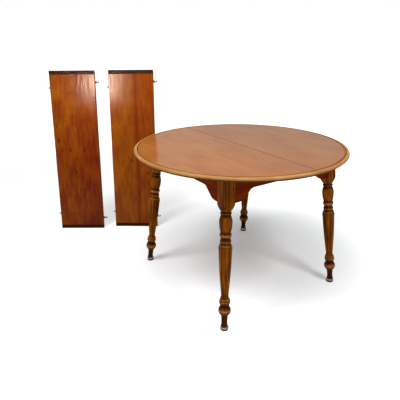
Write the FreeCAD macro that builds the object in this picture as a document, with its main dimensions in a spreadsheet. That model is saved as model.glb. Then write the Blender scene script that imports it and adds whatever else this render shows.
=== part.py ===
import FreeCAD, Part
import math
import os
import Sketcher

# Round pull-apart dining table with two loose leaves. Millimetres and degrees, +Z up,
# the seam of the top along X, the two halves pulled apart along Y. Half A is at -Y.
# Each half is drawn at -Y with its seam edge on y = 0, and half B is that drawing turned
# by 180 degrees about the middle of the top.

SIZES = {
    # where the pieces stand: the middle of the table, then each leaf's foot, left of and before it
    "table_x": 363.3, "table_y": 76.5,
    "leaf_1_left": 1030.0, "leaf_1_front": 564.0, "leaf_1_angle": 56.5,
    "leaf_2_left": 846.0, "leaf_2_front": 235.0, "leaf_2_angle": 55.6,
    "leaf_lean_angle": 8.6,
    # the top
    "table_height": 740.0, "top_radius": 533.4, "top_thickness": 20.0,
    "rim_width": 26.0, "glue_line": 0.1, "seam_gap": 0.6, "seam_bevel": 2.0,
    "groove_width": 2.6, "groove_depth": 1.8,
    "nose_radius": 8.0, "nose_flat": 3.0,
    "leaf_ease": 0.4,
    # turned legs, square at the top
    "overhang_x": 211.4, "overhang_y": 214.4, "collar_height": 553.0,
    "splay_run_x": 58.0, "splay_run_y": 41.0,
    "post_side": 57.0, "post_round": 4.0, "tongue_end": 614.0,
    "foot_diameter": 33.5, "foot_height": 20.0,
    "ankle_diameter": 31.0, "ankle_height": 38.0, "ankle_hollow": 0.8,
    "calf_diameter": 38.0, "calf_height": 66.0, "calf_hollow": 1.2,
    "ball_diameter": 50.0, "ball_height": 111.0, "ball_swell": 8.4,
    "ball_neck_diameter": 37.0, "ball_neck_height": 119.0, "ball_neck_hollow": 1.4,
    "ring_foot_diameter": 40.0, "ring_foot_height": 122.0,
    "ring_diameter": 43.0, "ring_height": 157.0, "ring_swell": 5.4,
    "waist_diameter": 34.5, "waist_height": 186.0, "waist_hollow": 2.0,
    "shoulder_diameter": 61.0, "shoulder_height": 386.0, "shoulder_swell": 1.8,
    "shoulder_top_diameter": 48.5, "shoulder_top_height": 415.0, "shoulder_top_swell": 3.2,
    "quirk_diameter": 45.0, "quirk_height": 417.5,
    "fillet_bead_diameter": 45.0, "fillet_bead_height": 433.0, "fillet_bead_swell": 2.4,
    "cove_diameter": 46.0, "cove_height": 442.5, "cove_hollow": 1.4,
    "bead_diameter": 47.0, "bead_height": 464.0, "bead_swell": 4.2,
    "vase_foot_diameter": 46.6, "vase_foot_height": 469.0, "vase_foot_hollow": 0.7,
    "vase_diameter": 59.0, "vase_height": 508.0, "vase_swell": 1.0,
    "vase_top_diameter": 44.0, "vase_top_height": 546.0, "vase_top_swell": 2.6,
    "neck_diameter": 43.4, "neck_height": 550.5,
    "collar_diameter": 44.6, "collar_top_height": 562.5, "collar_swell": 3.8,
    "tongue_diameter": 45.4, "tongue_height": 566.5, "tongue_swell": 2.2,
    "glide_base_radius": 15.0, "glide_radius": 19.2, "glide_lip_height": 6.0,
    "glide_neck_radius": 17.0, "glide_seat": 0.2, "glide_lip_swell": 1.0, "glide_dome_swell": 0.8,
    # aprons under the top, with ogee brackets beside each leg
    "apron_thickness": 19.0, "apron_depth": 75.0, "apron_reveal": 6.0,
    "bracket_drop": 48.0, "bracket_flat": 12.0, "bracket_slope": 39.0,
    "bracket_round": 32.0, "bracket_hollow": 50.0, "joint_gap": 0.15,
    # corner blocks, hanger bolts and wing nuts
    "block_thickness": 24.0, "block_height": 52.0, "block_gap": 8.0, "block_drop": 2.0,
    "bolt_radius": 4.0, "bolt_length": 84.0, "bolt_hole_play": 0.4, "bolt_spacing": 27.0,
    "nut_radius": 8.0, "nut_height": 9.0, "wing_span": 34.0, "wing_height": 14.0,
    "wing_thickness": 3.0, "wing_swell": 1.5,
    # extension slides
    "slide_inset": 167.0, "rail_width": 28.0, "rail_depth": 45.0, "rail_end_gap": 5.1,
    "slide_reserve": 9.0,
    "rail_play": 0.4, "tongue_root": 7.0, "tongue_tip": 11.0, "tongue_depth": 6.0,
    "groove_play": 0.3, "middle_drop": 2.0,
    "module": 2.5, "pinion_teeth": 14, "pressure_angle": 25.0,
    "tooth_backlash": 0.12, "addendum": 0.9, "dedendum": 1.16,
    "gear_height": 10.0, "gear_gap": 0.3, "rack_back": 8.0, "rack_lead": 7.5, "rack_spare": 4.7,
    "tooth_root": 0.5,
    "axle_radius": 4.0, "bore_play": 0.05, "axle_grip": 20.0,
    "axle_head_radius": 8.0, "axle_head_height": 3.5,
    "brace_width": 46.0, "brace_thickness": 12.0, "brace_inset": 87.0, "brace_overhang": 40.0,
    "spacer_width": 22.0, "spacer_height": 13.0,
    # screws
    "screw_radius": 2.2, "screw_head_radius": 4.6, "screw_head_height": 2.6,
    "screw_head_swell": 1.2,
    "screw_bite": 11.0, "screw_inset": 55.0, "screw_end": 30.0, "screw_offset": 7.0,
    "brace_screw_y": 13.0,
    # locating pins and swinging lock hooks
    "pin_inset": 82.4, "pin_radius": 4.0, "pin_reach": 12.0, "pin_root": 14.0,
    "pin_hole_play": 0.3, "pin_hole_spare": 2.0,
    "hook_end_inset": 47.4, "hook_inset": 25.0, "hook_reach": 37.0, "hook_half_width": 6.5,
    "hook_thickness": 3.0, "hook_tip": 1.0, "hook_pin_radius": 4.0,
    "plate_thickness": 2.0, "plate_length": 44.0, "plate_width": 26.0, "plate_inset": 4.0,
    "stud_radius": 3.2, "stud_play": 0.3, "stud_plate": 20.0,
    "hook_head_radius": 7.0, "hook_head_height": 2.0, "hook_gap": 0.3,
}

doc = FreeCAD.newDocument("ExtensionTable")
sheet = doc.addObject("Spreadsheet::Sheet", "Sizes")
for row, (alias, value) in enumerate(SIZES.items(), start=1):
    sheet.set("A%d" % row, alias)
    sheet.set("B%d" % row, str(value))
    sheet.setAlias("B%d" % row, alias)
doc.recompute()

Vector = FreeCAD.Vector
Placement = FreeCAD.Placement
Rotation = FreeCAD.Rotation
UP = Vector(0, 0, 1)
LEVEL = Rotation()
BOX_UPRIGHTS = (1, 3, 5, 7)  # a box's edges along Z


class Size:
    """A length or angle: its number, and the sheet expression that gives that number."""

    def __init__(self, number, text):
        self.number = float(number)
        self.text = text

    def __float__(self):
        return self.number

    def __add__(self, other):
        return joined(self, "+", other, self.number + float(other))

    def __sub__(self, other):
        return joined(self, "-", other, self.number - float(other))

    def __mul__(self, other):
        return joined(self, "*", other, self.number * float(other))

    def __truediv__(self, other):
        return joined(self, "/", other, self.number / float(other))

    def __neg__(self):
        return joined(self, "*", -1.0, -self.number)

    def __radd__(self, other):
        return self + other


def asSize(value):
    return value if isinstance(value, Size) else Size(value, "(%.9f)" % value)


def joined(first, sign, second, number):
    return Size(number, "(%s %s %s)" % (first.text, sign, asSize(second).text))


class Named:
    """The sheet's values by name."""


s = Named()
for alias in SIZES:
    setattr(s, alias, Size(getattr(sheet, alias), "Sizes." + alias))


# ---- drawing helpers ----

def plane(body, role):
    return [feature for feature in body.Origin.OriginFeatures if feature.Role == role][0]


def body(name):
    return doc.addObject("PartDesign::Body", name)


def root(value):
    return Size(math.sqrt(value.number), "sqrt(%s)" % value.text)


def arc_through(start, end, swell):
    """The crown and centre of the arc whose crown stands swell to the right of its chord.

    With half the chord c and swell h, the centre is (h * h - c * c) / (2 * h) from the chord's middle.
    """
    across, rise = end[0] - start[0], end[1] - start[1]
    chord = root(across * across + rise * rise)
    offset = (swell * swell - chord * chord / 4) / (swell * 2)
    middle_x, middle_y = (start[0] + end[0]) / 2, (start[1] + end[1]) / 2
    side_x, side_y = rise / chord, -across / chord
    crown = Vector(float(middle_x + side_x * swell), float(middle_y + side_y * swell), 0)
    return crown, middle_x + side_x * offset, middle_y + side_y * offset


def tie(drawing, kind, geometry, position, value):
    """Hold one point of a sketch at a distance from the origin, along X or Y."""
    number = drawing.addConstraint(Sketcher.Constraint(kind, -1, 1, geometry, position, value.number))
    if "Sizes." in value.text:
        drawing.setExpression("Constraints[%d]" % number, value.text)


def pin_down(drawing, geometry, position, x, y):
    tie(drawing, "DistanceX", geometry, position, x)
    tie(drawing, "DistanceY", geometry, position, y)


def sketch(owner, role, outline, holes=(), lift=None):
    """A closed outline on one of a body's own planes, lifted along the plane's normal."""
    drawing = owner.newObject("Sketcher::SketchObject", owner.Name + "_outline")
    drawing.AttachmentSupport = [(plane(owner, role), "")]
    drawing.MapMode = "FlatFace"
    if lift is not None:
        drawing.AttachmentOffset = Placement(Vector(0, 0, float(lift)), LEVEL)
        drawing.setExpression("AttachmentOffset.Base.z", asSize(lift).text)
    return draw(drawing, outline, holes)


def draw(drawing, outline, holes=()):
    """Draw corners (x, y), or (x, y, swell) where the line that arrives at the corner is bowed."""
    corners = [(asSize(corner[0]), asSize(corner[1])) for corner in outline]
    points = [Vector(x.number, y.number, 0) for x, y in corners]
    ends, centres = [], []
    for index, corner in enumerate(outline):
        start, end = points[index - 1], points[index]
        if len(corner) > 2 and abs(float(corner[2])) > 1e-6:
            crown, middle_x, middle_y = arc_through(corners[index - 1], corners[index], asSize(corner[2]))
            outward = float(corner[2]) > 0  # a sketch keeps every arc anticlockwise
            arc = Part.Arc(start, crown, end) if outward else Part.Arc(end, crown, start)
            number = drawing.addGeometry(arc, False)
            ends.append((number, 1, 2) if outward else (number, 2, 1))
            upright = abs(end.y - start.y) > abs(end.x - start.x)
            centres.append((number, "DistanceX", middle_x) if upright else (number, "DistanceY", middle_y))
        else:
            ends.append((drawing.addGeometry(Part.LineSegment(start, end), False), 1, 2))
    for index, (number, first, last) in enumerate(ends):
        before = ends[index - 1]
        drawing.addConstraint(Sketcher.Constraint("Coincident", before[0], before[2], number, first))
    for (number, first, last), (x, y) in zip(ends, corners):
        pin_down(drawing, number, last, x, y)
    for number, kind, value in centres:
        tie(drawing, kind, number, 3, value)
    for x, y, radius in holes:
        x, y, radius = asSize(x), asSize(y), asSize(radius)
        number = drawing.addGeometry(Part.Circle(Vector(x.number, y.number, 0), UP, radius.number), False)
        pin_down(drawing, number, 3, x, y)
        number = drawing.addConstraint(Sketcher.Constraint("Radius", number, radius.number))
        drawing.setExpression("Constraints[%d]" % number, radius.text)
    return drawing


def pad(owner, role, outline, length, holes=(), lift=None, middle=False):
    """Raise an outline by a length, or by half of it to each side of its plane."""
    raised = owner.newObject("PartDesign::Pad", owner.Name + "_pad")
    raised.Profile = sketch(owner, role, outline, holes, lift)
    raised.Length = float(length)
    raised.setExpression("Length", asSize(length).text)
    if middle:
        raised.SideType = "Symmetric"
    owner.Tip = raised
    return raised


def turned(name, outline):
    """Turn a half profile (radius, height) about Z."""
    profile = doc.addObject("Sketcher::SketchObject", name + "_outline")
    profile.Placement = at(0, 0, 0, about((1, 0, 0), 90))
    spun = doc.addObject("Part::Revolution", name)
    spun.Source = draw(profile, outline)
    spun.Axis = UP
    spun.Angle = 360
    spun.Solid = True
    return spun


def box(name, corner, sizes, placement=None):
    """A block from its low corner and its three sizes."""
    block = doc.addObject("Part::Box", name)
    for key, value in zip(("Length", "Width", "Height"), sizes):
        setattr(block, key, float(value))
        block.setExpression(key, asSize(value).text)
    at = Placement(Vector(*[float(value) for value in corner]), LEVEL)
    block.Placement = (placement or Placement()).multiply(at)
    return block


def rod(name, radius, length, placement):
    """A round bar that leaves its placement along that placement's Z."""
    bar = doc.addObject("Part::Cylinder", name)
    bar.Radius, bar.Height = float(radius), float(length)
    bar.setExpression("Radius", asSize(radius).text)
    bar.setExpression("Height", asSize(length).text)
    bar.Placement = placement
    return bar


def fuse(name, pieces):
    joined_up = doc.addObject("Part::MultiFuse", name)
    joined_up.Shapes = pieces
    return joined_up


def cut(name, base, tools):
    rest = doc.addObject("Part::Cut", name)
    rest.Base = base
    rest.Tool = tools[0] if len(tools) == 1 else fuse(name + "_tools", tools)
    return rest


def common(name, first, second):
    shared = doc.addObject("Part::Common", name)
    shared.Base, shared.Tool = first, second
    return shared


def at(x, y, z, rotation=LEVEL):
    return Placement(Vector(float(x), float(y), float(z)), rotation)


def about(axis, degrees):
    return Rotation(Vector(*axis), degrees)


nodes = []


def node(item, name, place=None):
    """Name a finished piece and move it from the place where it was drawn."""
    item.Label = name
    item.Placement = (place or Placement()).multiply(item.Placement)
    nodes.append(item)


# ---- places that several pieces share ----

top_z = s.table_height
under_z = s.table_height - s.top_thickness
field_radius = s.top_radius - s.rim_width
table_middle = at(s.table_x, s.table_y, 0)
half_gap = s.seam_gap / 2
cove_radius = s.top_thickness - s.nose_radius - s.nose_flat
splay_x = math.degrees(math.atan2(float(s.splay_run_x), float(s.collar_height)))
splay_y = math.degrees(math.atan2(float(s.splay_run_y), float(s.collar_height)))
pin_x = field_radius - s.pin_inset
hook_x = field_radius - s.hook_end_inset
rail_top = under_z
rail_low = under_z - s.rail_depth
gear_low = rail_low - s.gear_gap - s.gear_height
pitch_radius = s.module * s.pinion_teeth / 2
tooth_pitch = s.module * math.pi
rail_step = s.rail_width + s.rail_play
slide_x = s.top_radius - s.overhang_x - s.slide_inset
hook_low = s.plate_thickness + s.hook_gap
hook_under = hook_low + s.hook_thickness + s.hook_gap


def leg_line(height):
    """How far the axis of a leg stands from the table's middle, along X and Y, at a height."""
    drop = asSize(1.0) - height / s.collar_height
    return (s.top_radius - s.overhang_x + s.splay_run_x * drop,
            s.top_radius - s.overhang_y + s.splay_run_y * drop)


apron_in = s.post_side / 2 - s.apron_reveal - s.apron_thickness
rail_length = (leg_line(under_z)[1] + apron_in - s.rail_end_gap) * 2
leaf_width = rail_length / 2 - s.slide_reserve  # a leaf fills what the slides can open
travel = leaf_width + s.seam_gap + s.leaf_ease
screw_spacing = (rail_length / 2 - s.screw_inset - s.screw_end) / 2
brace_y = rail_length / 2 - s.brace_inset


def leg_placement(side):
    """A leg stands on its foot point and leans to its collar point; side is -1 or 1 along X."""
    foot_x, foot_y = leg_line(asSize(0.0))
    lean = Vector(-side * float(s.splay_run_x), float(s.splay_run_y), float(s.collar_height))
    return at(foot_x * side, -foot_y, 0, Rotation(UP, lean))


def edge_profile(inner, outer, top):
    """The moulded edge from its inner face out: quirk, flat, quarter round, nose and cove."""
    low = top - s.top_thickness
    quarter = 1 - math.sqrt(0.5)
    return [
        (inner, low),
        (outer - cove_radius, low),
        (outer, low + cove_radius, -cove_radius * quarter),
        (outer, top - s.nose_radius),
        (outer - s.nose_radius, top, s.nose_radius * quarter),
        (inner + s.groove_width, top),
        (inner + s.groove_width, top - s.groove_depth),
        (inner, top - s.groove_depth),
    ]


# ---- the top of one half ----

def seam_cutters(name):
    """The far side of the seam, and the bevel along its upper edge."""
    reach = s.top_radius + s.rim_width
    far = box(name + "_beyond", (-reach, -half_gap, under_z - s.rim_width),
              (reach * 2, reach, s.rim_width * 3))
    bevel = box(name + "_bevel", (-reach, -s.seam_bevel / 2, -s.seam_bevel / 2),
                (reach * 2, s.seam_bevel, s.seam_bevel),
                at(0, -half_gap, top_z, about((1, 0, 0), 45)))
    return [far, bevel]


def pin_place(x):
    return at(x, -half_gap, top_z - s.top_thickness / 2, about((1, 0, 0), 90))


def pin_holes(name, depth, play):
    """Two bores in the seam edge for the locating pins."""
    return [rod("%s_bore_%d" % (name, float(x) > 0), s.pin_radius + play, depth, pin_place(x))
            for x in (-pin_x, pin_x)]


def half_top(letter, place, holds_pins):
    radius = field_radius - s.glue_line
    board = body("field_board_" + letter)
    pad(board, "XY_Plane", [(-radius, 0), (radius, 0, radius)], s.top_thickness, lift=under_z)
    depth = s.pin_root if holds_pins else s.pin_reach + s.pin_hole_spare
    play = 0.0 if holds_pins else s.pin_hole_play
    tools = seam_cutters("field_" + letter) + pin_holes("field_" + letter, depth, play)
    node(cut("field_cut_" + letter, board, tools), "top_field_" + letter, place)
    ring = turned("rim_turning_" + letter, edge_profile(field_radius, s.top_radius, top_z))
    node(cut("rim_cut_" + letter, ring, seam_cutters("rim_" + letter)), "rim_moulding_" + letter, place)


def locating_pins(name, place):
    """Steel pins let into the edge, with a tapered end."""
    pins = []
    taper = s.pin_radius / 2
    length = s.pin_root + s.pin_reach - taper
    for x in (-pin_x, pin_x):
        number = float(x) > 0
        back = pin_place(x).multiply(at(0, 0, s.pin_root, about((1, 0, 0), 180)))
        shank = rod("%s_shank_%d" % (name, number), s.pin_radius, length, back)
        tip = doc.addObject("Part::Cone", "%s_tip_%d" % (name, number))
        for key, value in (("Radius1", s.pin_radius), ("Radius2", taper), ("Height", taper)):
            setattr(tip, key, float(value))
            tip.setExpression(key, value.text)
        tip.Placement = back.multiply(at(0, 0, length))
        pins.append(fuse("%s_pin_%d" % (name, number), [shank, tip]))
    node(fuse(name, pins), name, place)


# ---- legs ----

def leg_profile():
    """The turned outline from the foot up, then straight up the corners of the square post."""
    corner_radius = s.post_side * math.sqrt(0.5) + s.post_round
    above = s.table_height + s.rim_width
    return [
        (0, 0),
        (s.foot_diameter / 2, 0),
        (s.foot_diameter / 2, s.foot_height),
        (s.ankle_diameter / 2, s.ankle_height, -s.ankle_hollow),
        (s.calf_diameter / 2, s.calf_height, -s.calf_hollow),
        (s.ball_diameter / 2, s.ball_height, s.ball_swell),
        (s.ball_neck_diameter / 2, s.ball_neck_height, -s.ball_neck_hollow),
        (s.ring_foot_diameter / 2, s.ring_foot_height),
        (s.ring_diameter / 2, s.ring_height, s.ring_swell),
        (s.waist_diameter / 2, s.waist_height, -s.waist_hollow),
        (s.shoulder_diameter / 2, s.shoulder_height, s.shoulder_swell),
        (s.shoulder_top_diameter / 2, s.shoulder_top_height, s.shoulder_top_swell),
        (s.quirk_diameter / 2, s.quirk_height),
        (s.fillet_bead_diameter / 2, s.fillet_bead_height, s.fillet_bead_swell),
        (s.cove_diameter / 2, s.cove_height, -s.cove_hollow),
        (s.bead_diameter / 2, s.bead_height, s.bead_swell),
        (s.vase_foot_diameter / 2, s.vase_foot_height, -s.vase_foot_hollow),
        (s.vase_diameter / 2, s.vase_height, s.vase_swell),
        (s.vase_top_diameter / 2, s.vase_top_height, s.vase_top_swell),
        (s.neck_diameter / 2, s.neck_height),
        (s.collar_diameter / 2, s.collar_top_height, s.collar_swell),
        (s.tongue_diameter / 2, s.tongue_height),
        (corner_radius, s.tongue_end, s.tongue_swell),
        (corner_radius, above),
        (0, above),
    ]


def leg(side, name, place):
    """A leg turned from a square: the lathe leaves the post and its lamb's tongues."""
    stand = leg_placement(side)
    turning = turned("turning_" + name, leg_profile())
    length = s.table_height + s.rim_width
    half = s.post_side / 2
    stock = box("stock_" + name, (-half, -half, 0), (s.post_side, s.post_side, length))
    eased = doc.addObject("Part::Fillet", "eased_" + name)
    eased.Base = stock
    eased.Edges = [(number, float(s.post_round), float(s.post_round)) for number in BOX_UPRIGHTS]
    shaped = common("shaped_" + name, turning, eased)
    shaped.Placement = stand
    reach = s.top_radius
    level = box("level_" + name, (-reach, -reach, s.foot_height),
                (reach * 2, reach * 2, under_z - s.foot_height))
    node(common("leg_" + name, shaped, level), name, place)


def glides(letter, place):
    """Plated glides under the feet, flat below and domed at the side."""
    pair = []
    for side in (-1, 1):
        x, y = leg_line(s.foot_height)
        cup = turned("glide_%s_%d" % (letter, side > 0), [
            (0, 0),
            (s.glide_base_radius, 0),
            (s.glide_radius, s.glide_lip_height, s.glide_lip_swell),
            (s.glide_neck_radius, s.foot_height - s.glide_seat, s.glide_dome_swell),
            (0, s.foot_height - s.glide_seat),
        ])
        cup.Placement = at(x * side, -y, 0)
        pair.append(cup)
    node(fuse("glide_pair_" + letter, pair), "glides_" + letter, place)


# ---- aprons, corner blocks and bolts ----

def post_clearances(name):
    """The two posts of a half with the joint gap round them."""
    side = s.post_side + s.joint_gap * 2
    sizes = (side, side, s.table_height + s.rim_width)
    return [box("%s_post_%d" % (name, number > 0), (-side / 2, -side / 2, 0), sizes, leg_placement(number))
            for number in (-1, 1)]


def apron_outline(inner_end, leg_x):
    """An apron in its own plane: up is height, and its top edge rises past the underside of the top.

    The lower edge runs straight, then drops to the leg in an ogee: a round, a slope and a hollow.
    """
    slope = math.radians(float(s.bracket_slope))
    bow = 1 - math.cos(slope / 2)
    rounded = s.bracket_round * (1 - math.cos(slope))
    hollowed = s.bracket_hollow * (1 - math.cos(slope))
    run = (s.bracket_drop - rounded - hollowed) / math.tan(slope)
    low = -(s.apron_depth + s.bracket_drop)
    hollow_end = leg_x - s.post_side / 2 - s.bracket_flat
    hollow_start = hollow_end - s.bracket_hollow * math.sin(slope)
    round_end = hollow_start - run
    round_start = round_end - s.bracket_round * math.sin(slope)
    right = [
        (round_start, -s.apron_depth, 0.0),
        (round_end, -(s.apron_depth + rounded), s.bracket_round * -bow),
        (hollow_start, low + hollowed, 0.0),
        (hollow_end, low, s.bracket_hollow * bow),
        (leg_x, low, 0.0),
        (leg_x, s.apron_thickness, 0.0),
    ]
    if inner_end is not None:
        return [(inner_end, s.apron_thickness), (inner_end, -s.apron_depth)] + right
    swells = [corner[2] for corner in right[1:]] + [0.0]
    left = [(-x, z, swell) for (x, z, _), swell in zip(right, swells)]
    return right + list(reversed(left))


def apron_board(name, outline, place):
    board = body("board_" + name)
    pad(board, "XZ_Plane", outline, s.apron_thickness, middle=True)
    board.Placement = place
    return board


def long_apron_place():
    """The middle plane of the apron along X, canted with the legs."""
    y = leg_line(under_z)[1] + apron_in + s.apron_thickness / 2
    return at(0, -y, under_z, about((1, 0, 0), -splay_y))


def short_apron_place(side):
    """The middle plane of an apron along Y, drawn with its length running from the seam to the leg."""
    x = leg_line(under_z)[0] + apron_in + s.apron_thickness / 2
    return at(x * side, 0, under_z, about((0, 1, 0), -side * splay_x).multiply(about((0, 0, 1), -90)))


def aprons(letter, place, side_name):
    leg_x, leg_y = leg_line(under_z)
    reach = s.top_radius
    above = box("above_" + letter, (-reach, -reach, under_z), (reach * 2, reach * 2, s.post_side))
    name = "long_apron_" + letter
    board = apron_board(name, apron_outline(None, leg_x), long_apron_place())
    node(cut("cut_" + name, board, [above] + post_clearances(name)), name, place)
    for side in (-1, 1):
        name = "short_apron_%s_%s" % (letter, side_name(side))
        board = apron_board(name, apron_outline(half_gap, leg_y), short_apron_place(side))
        node(cut("cut_" + name, board, [above] + post_clearances(name)), name, place)


def corner_place(side):
    """The inner corner of a post at mid block height; X runs towards the leg, level."""
    x, y = leg_line(under_z - s.block_drop - s.block_height / 2)
    half = s.post_side / 2
    angle = math.degrees(math.atan2(-1, side))
    low = under_z - s.block_drop - s.block_height
    return at((x - half) * side, half - y, low, about((0, 0, 1), angle))


def apron_shells(name, side):
    """Plain canted boards in the place of the two aprons that meet at a leg, with the joint gap."""
    thickness = s.apron_thickness + s.joint_gap * 2
    length, height = s.top_radius, s.apron_depth + s.bracket_drop + s.apron_thickness
    shells = []
    for number, stand in enumerate((long_apron_place(), short_apron_place(side))):
        corner = (-length, -thickness / 2, -(s.apron_depth + s.bracket_drop))
        shells.append(box("%s_shell_%d" % (name, number), corner, (length * 2, thickness, height), stand))
    return shells


def corner_block(name, side):
    """A block across the corner, cut to the two aprons, with holes for the hanger bolts."""
    inner, outer = -(s.block_gap + s.block_thickness), -s.block_gap
    lap = s.apron_thickness / 2
    reach = (s.post_side - s.apron_reveal - s.apron_thickness) * math.sqrt(2)
    block = body(name)
    pad(block, "XY_Plane", [(inner, -(reach - inner + lap)), (outer, -(reach - outer + lap)),
                            (outer, reach - outer + lap), (inner, reach - inner + lap)], s.block_height)
    block.Placement = corner_place(side)
    bores = [rod("%s_bore_%d" % (name, number), s.bolt_radius + s.bolt_hole_play, s.bolt_length, place)
             for number, place in enumerate(bolt_places(side))]
    return cut(name + "_cut", block, apron_shells(name, side) + bores)


def bolt_places(side):
    """Two bolts one above the other, from the nut end, pointing at the leg."""
    first = (s.block_height - s.bolt_spacing) / 2
    nut_end = -(s.block_gap + s.block_thickness + s.nut_height + s.bolt_radius)
    return [corner_place(side).multiply(at(nut_end, 0, height, about((0, 1, 0), 90)))
            for height in (first, first + s.bolt_spacing)]


def wing_nut(name, place):
    """A hub with two wings that rise away from the block."""
    hub = rod(name + "_hub", s.nut_radius, s.nut_height, place)
    wings = body(name + "_wings")
    span, foot = s.wing_span / 2, s.nut_radius / 2
    outline = [(-foot, s.nut_height), (foot, s.nut_height), (span, -s.nut_height, s.wing_swell),
               (span - foot, -s.wing_height, s.wing_swell), (foot, 0), (-foot, 0),
               (foot - span, -s.wing_height), (-span, -s.nut_height, s.wing_swell)]
    pad(wings, "YZ_Plane", outline, s.wing_thickness, middle=True)
    wings.Placement = place
    bore = rod(name + "_bore", s.bolt_radius + s.bore_play, s.nut_height * 4,
               place.multiply(at(0, 0, -s.nut_height * 2)))
    return cut(name + "_cut", fuse(name + "_solid", [hub, wings]), [bore])


def corner_hardware(letter, place):
    blocks, bolts, nuts = [], [], []
    for side in (-1, 1):
        blocks.append(corner_block("block_%s_%d" % (letter, side > 0), side))
        for number, stand in enumerate(bolt_places(side)):
            name = "%s_%d_%d" % (letter, side > 0, number)
            bolts.append(rod("bolt_" + name, s.bolt_radius, s.bolt_length, stand))
            nuts.append(wing_nut("nut_" + name, stand.multiply(at(0, 0, s.bolt_radius))))
    node(fuse("blocks_" + letter, blocks), "corner_blocks_" + letter, place)
    node(fuse("bolts_" + letter, bolts), "hanger_bolts_" + letter, place)
    node(fuse("nuts_" + letter, nuts), "wing_nuts_" + letter, place)


# ---- extension slides ----

def half_rail(name, x, place):
    """A rail of one half: its dovetail groove faces the middle rail on its -X side."""
    half, middle = s.rail_width / 2, -s.rail_depth / 2
    root, tip = s.tongue_root / 2 + s.groove_play, s.tongue_tip / 2 + s.groove_play
    bottom = -half + s.tongue_depth + s.groove_play
    rail = body("bar_" + name)
    pad(rail, "XZ_Plane", [(-half, -s.rail_depth), (half, -s.rail_depth), (half, 0), (-half, 0),
                           (-half, middle + root), (bottom, middle + tip),
                           (bottom, middle - tip), (-half, middle - root)], rail_length, middle=True)
    rail.Placement = at(x, 0, rail_top)
    node(rail, name, place)


def middle_rail(name, x):
    """The rail between the two, with a dovetail tongue on each side and a bore for the axle."""
    half, middle = s.rail_width / 2, -s.rail_depth / 2
    root, tip, out = s.tongue_root / 2, s.tongue_tip / 2, s.rail_width / 2 + s.tongue_depth
    right = [(half, middle - root), (out, middle - tip), (out, middle + tip), (half, middle + root)]
    left = [(-x_, z) for x_, z in reversed(right)]
    rail = body("bar_" + name)
    pad(rail, "XZ_Plane", [(-half, -s.rail_depth), (half, -s.rail_depth)] + right
        + [(half, -s.middle_drop), (-half, -s.middle_drop)] + left, rail_length, middle=True)
    rail.Placement = at(x, 0, rail_top)
    bore = rod(name + "_bore", s.axle_radius + s.bore_play, s.axle_grip + s.gear_gap,
               at(x, 0, rail_low - s.gear_gap))
    node(cut("cut_" + name, rail, [bore]), name, table_middle)


def rack(name, x, place):
    """A rack under a rail: the pitch line at x, teeth towards -X, a space opposite the pinion's middle."""
    run = travel + s.rack_spare
    count = int((float(run) - float(s.rack_lead)) / float(tooth_pitch)) + 1
    deep, proud = s.module * s.dedendum, s.module * s.addendum
    lean = math.tan(math.radians(float(s.pressure_angle)))
    half = tooth_pitch / 4 - s.tooth_backlash
    strip = body(name)
    pad(strip, "XY_Plane", [(deep, -s.rack_lead), (deep + s.rack_back, -s.rack_lead),
                            (deep + s.rack_back, run), (deep, run)], s.gear_height)
    middle = -tooth_pitch / 2
    sunk, wide, narrow = deep + s.tooth_root, half + deep * lean, half - proud * lean
    tooth = pad(strip, "XY_Plane", [(sunk, middle - wide), (sunk, middle + wide), (deep, middle + wide),
                                    (-proud, middle + narrow), (-proud, middle - narrow),
                                    (deep, middle - wide)], s.gear_height)
    row = strip.newObject("PartDesign::LinearPattern", name + "_teeth")
    row.Originals = [tooth]
    row.Direction = (plane(strip, "Y_Axis"), [""])
    row.Length = float(tooth_pitch * (count - 1))
    row.Occurrences = count
    strip.Tip = row
    strip.Placement = at(x, 0, rail_low - s.gear_height)
    node(strip, name, place)


def involute(angle):
    return math.tan(angle) - angle


def pinion(name, x):
    """A spur pinion on the middle rail, one tooth pointing along +X."""
    pitch = float(pitch_radius)
    pressure = math.radians(float(s.pressure_angle))
    base = pitch * math.cos(pressure)
    root_radius, tip = pitch_radius - s.module * s.dedendum, pitch_radius + s.module * s.addendum
    half_angle = math.pi / (2 * float(s.pinion_teeth)) - float(s.tooth_backlash) / pitch
    flank = []
    for radius in (base, pitch, float(tip)):
        turn = half_angle + involute(pressure) - involute(math.acos(min(1.0, base / radius)))
        flank.append((radius * math.cos(turn), radius * math.sin(turn)))
    foot = flank[0][1]
    upper = [(float(root_radius - s.tooth_root), foot)] + flank
    gear = body(name)
    pad(gear, "XY_Plane", [(root_radius, 0, root_radius), (-root_radius, 0, root_radius)], s.gear_height,
        holes=[(0.0, 0.0, s.axle_radius + s.bore_play)])
    tooth = pad(gear, "XY_Plane", [(x_, -y_) for x_, y_ in upper] + list(reversed(upper)), s.gear_height)
    ring = gear.newObject("PartDesign::PolarPattern", name + "_teeth")
    ring.Originals = [tooth]
    ring.Axis = (plane(gear, "Z_Axis"), [""])
    ring.Angle = 360
    ring.Occurrences = int(float(s.pinion_teeth))
    gear.Tip = ring
    gear.Placement = at(x, 0, gear_low)
    node(gear, name, table_middle)


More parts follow.
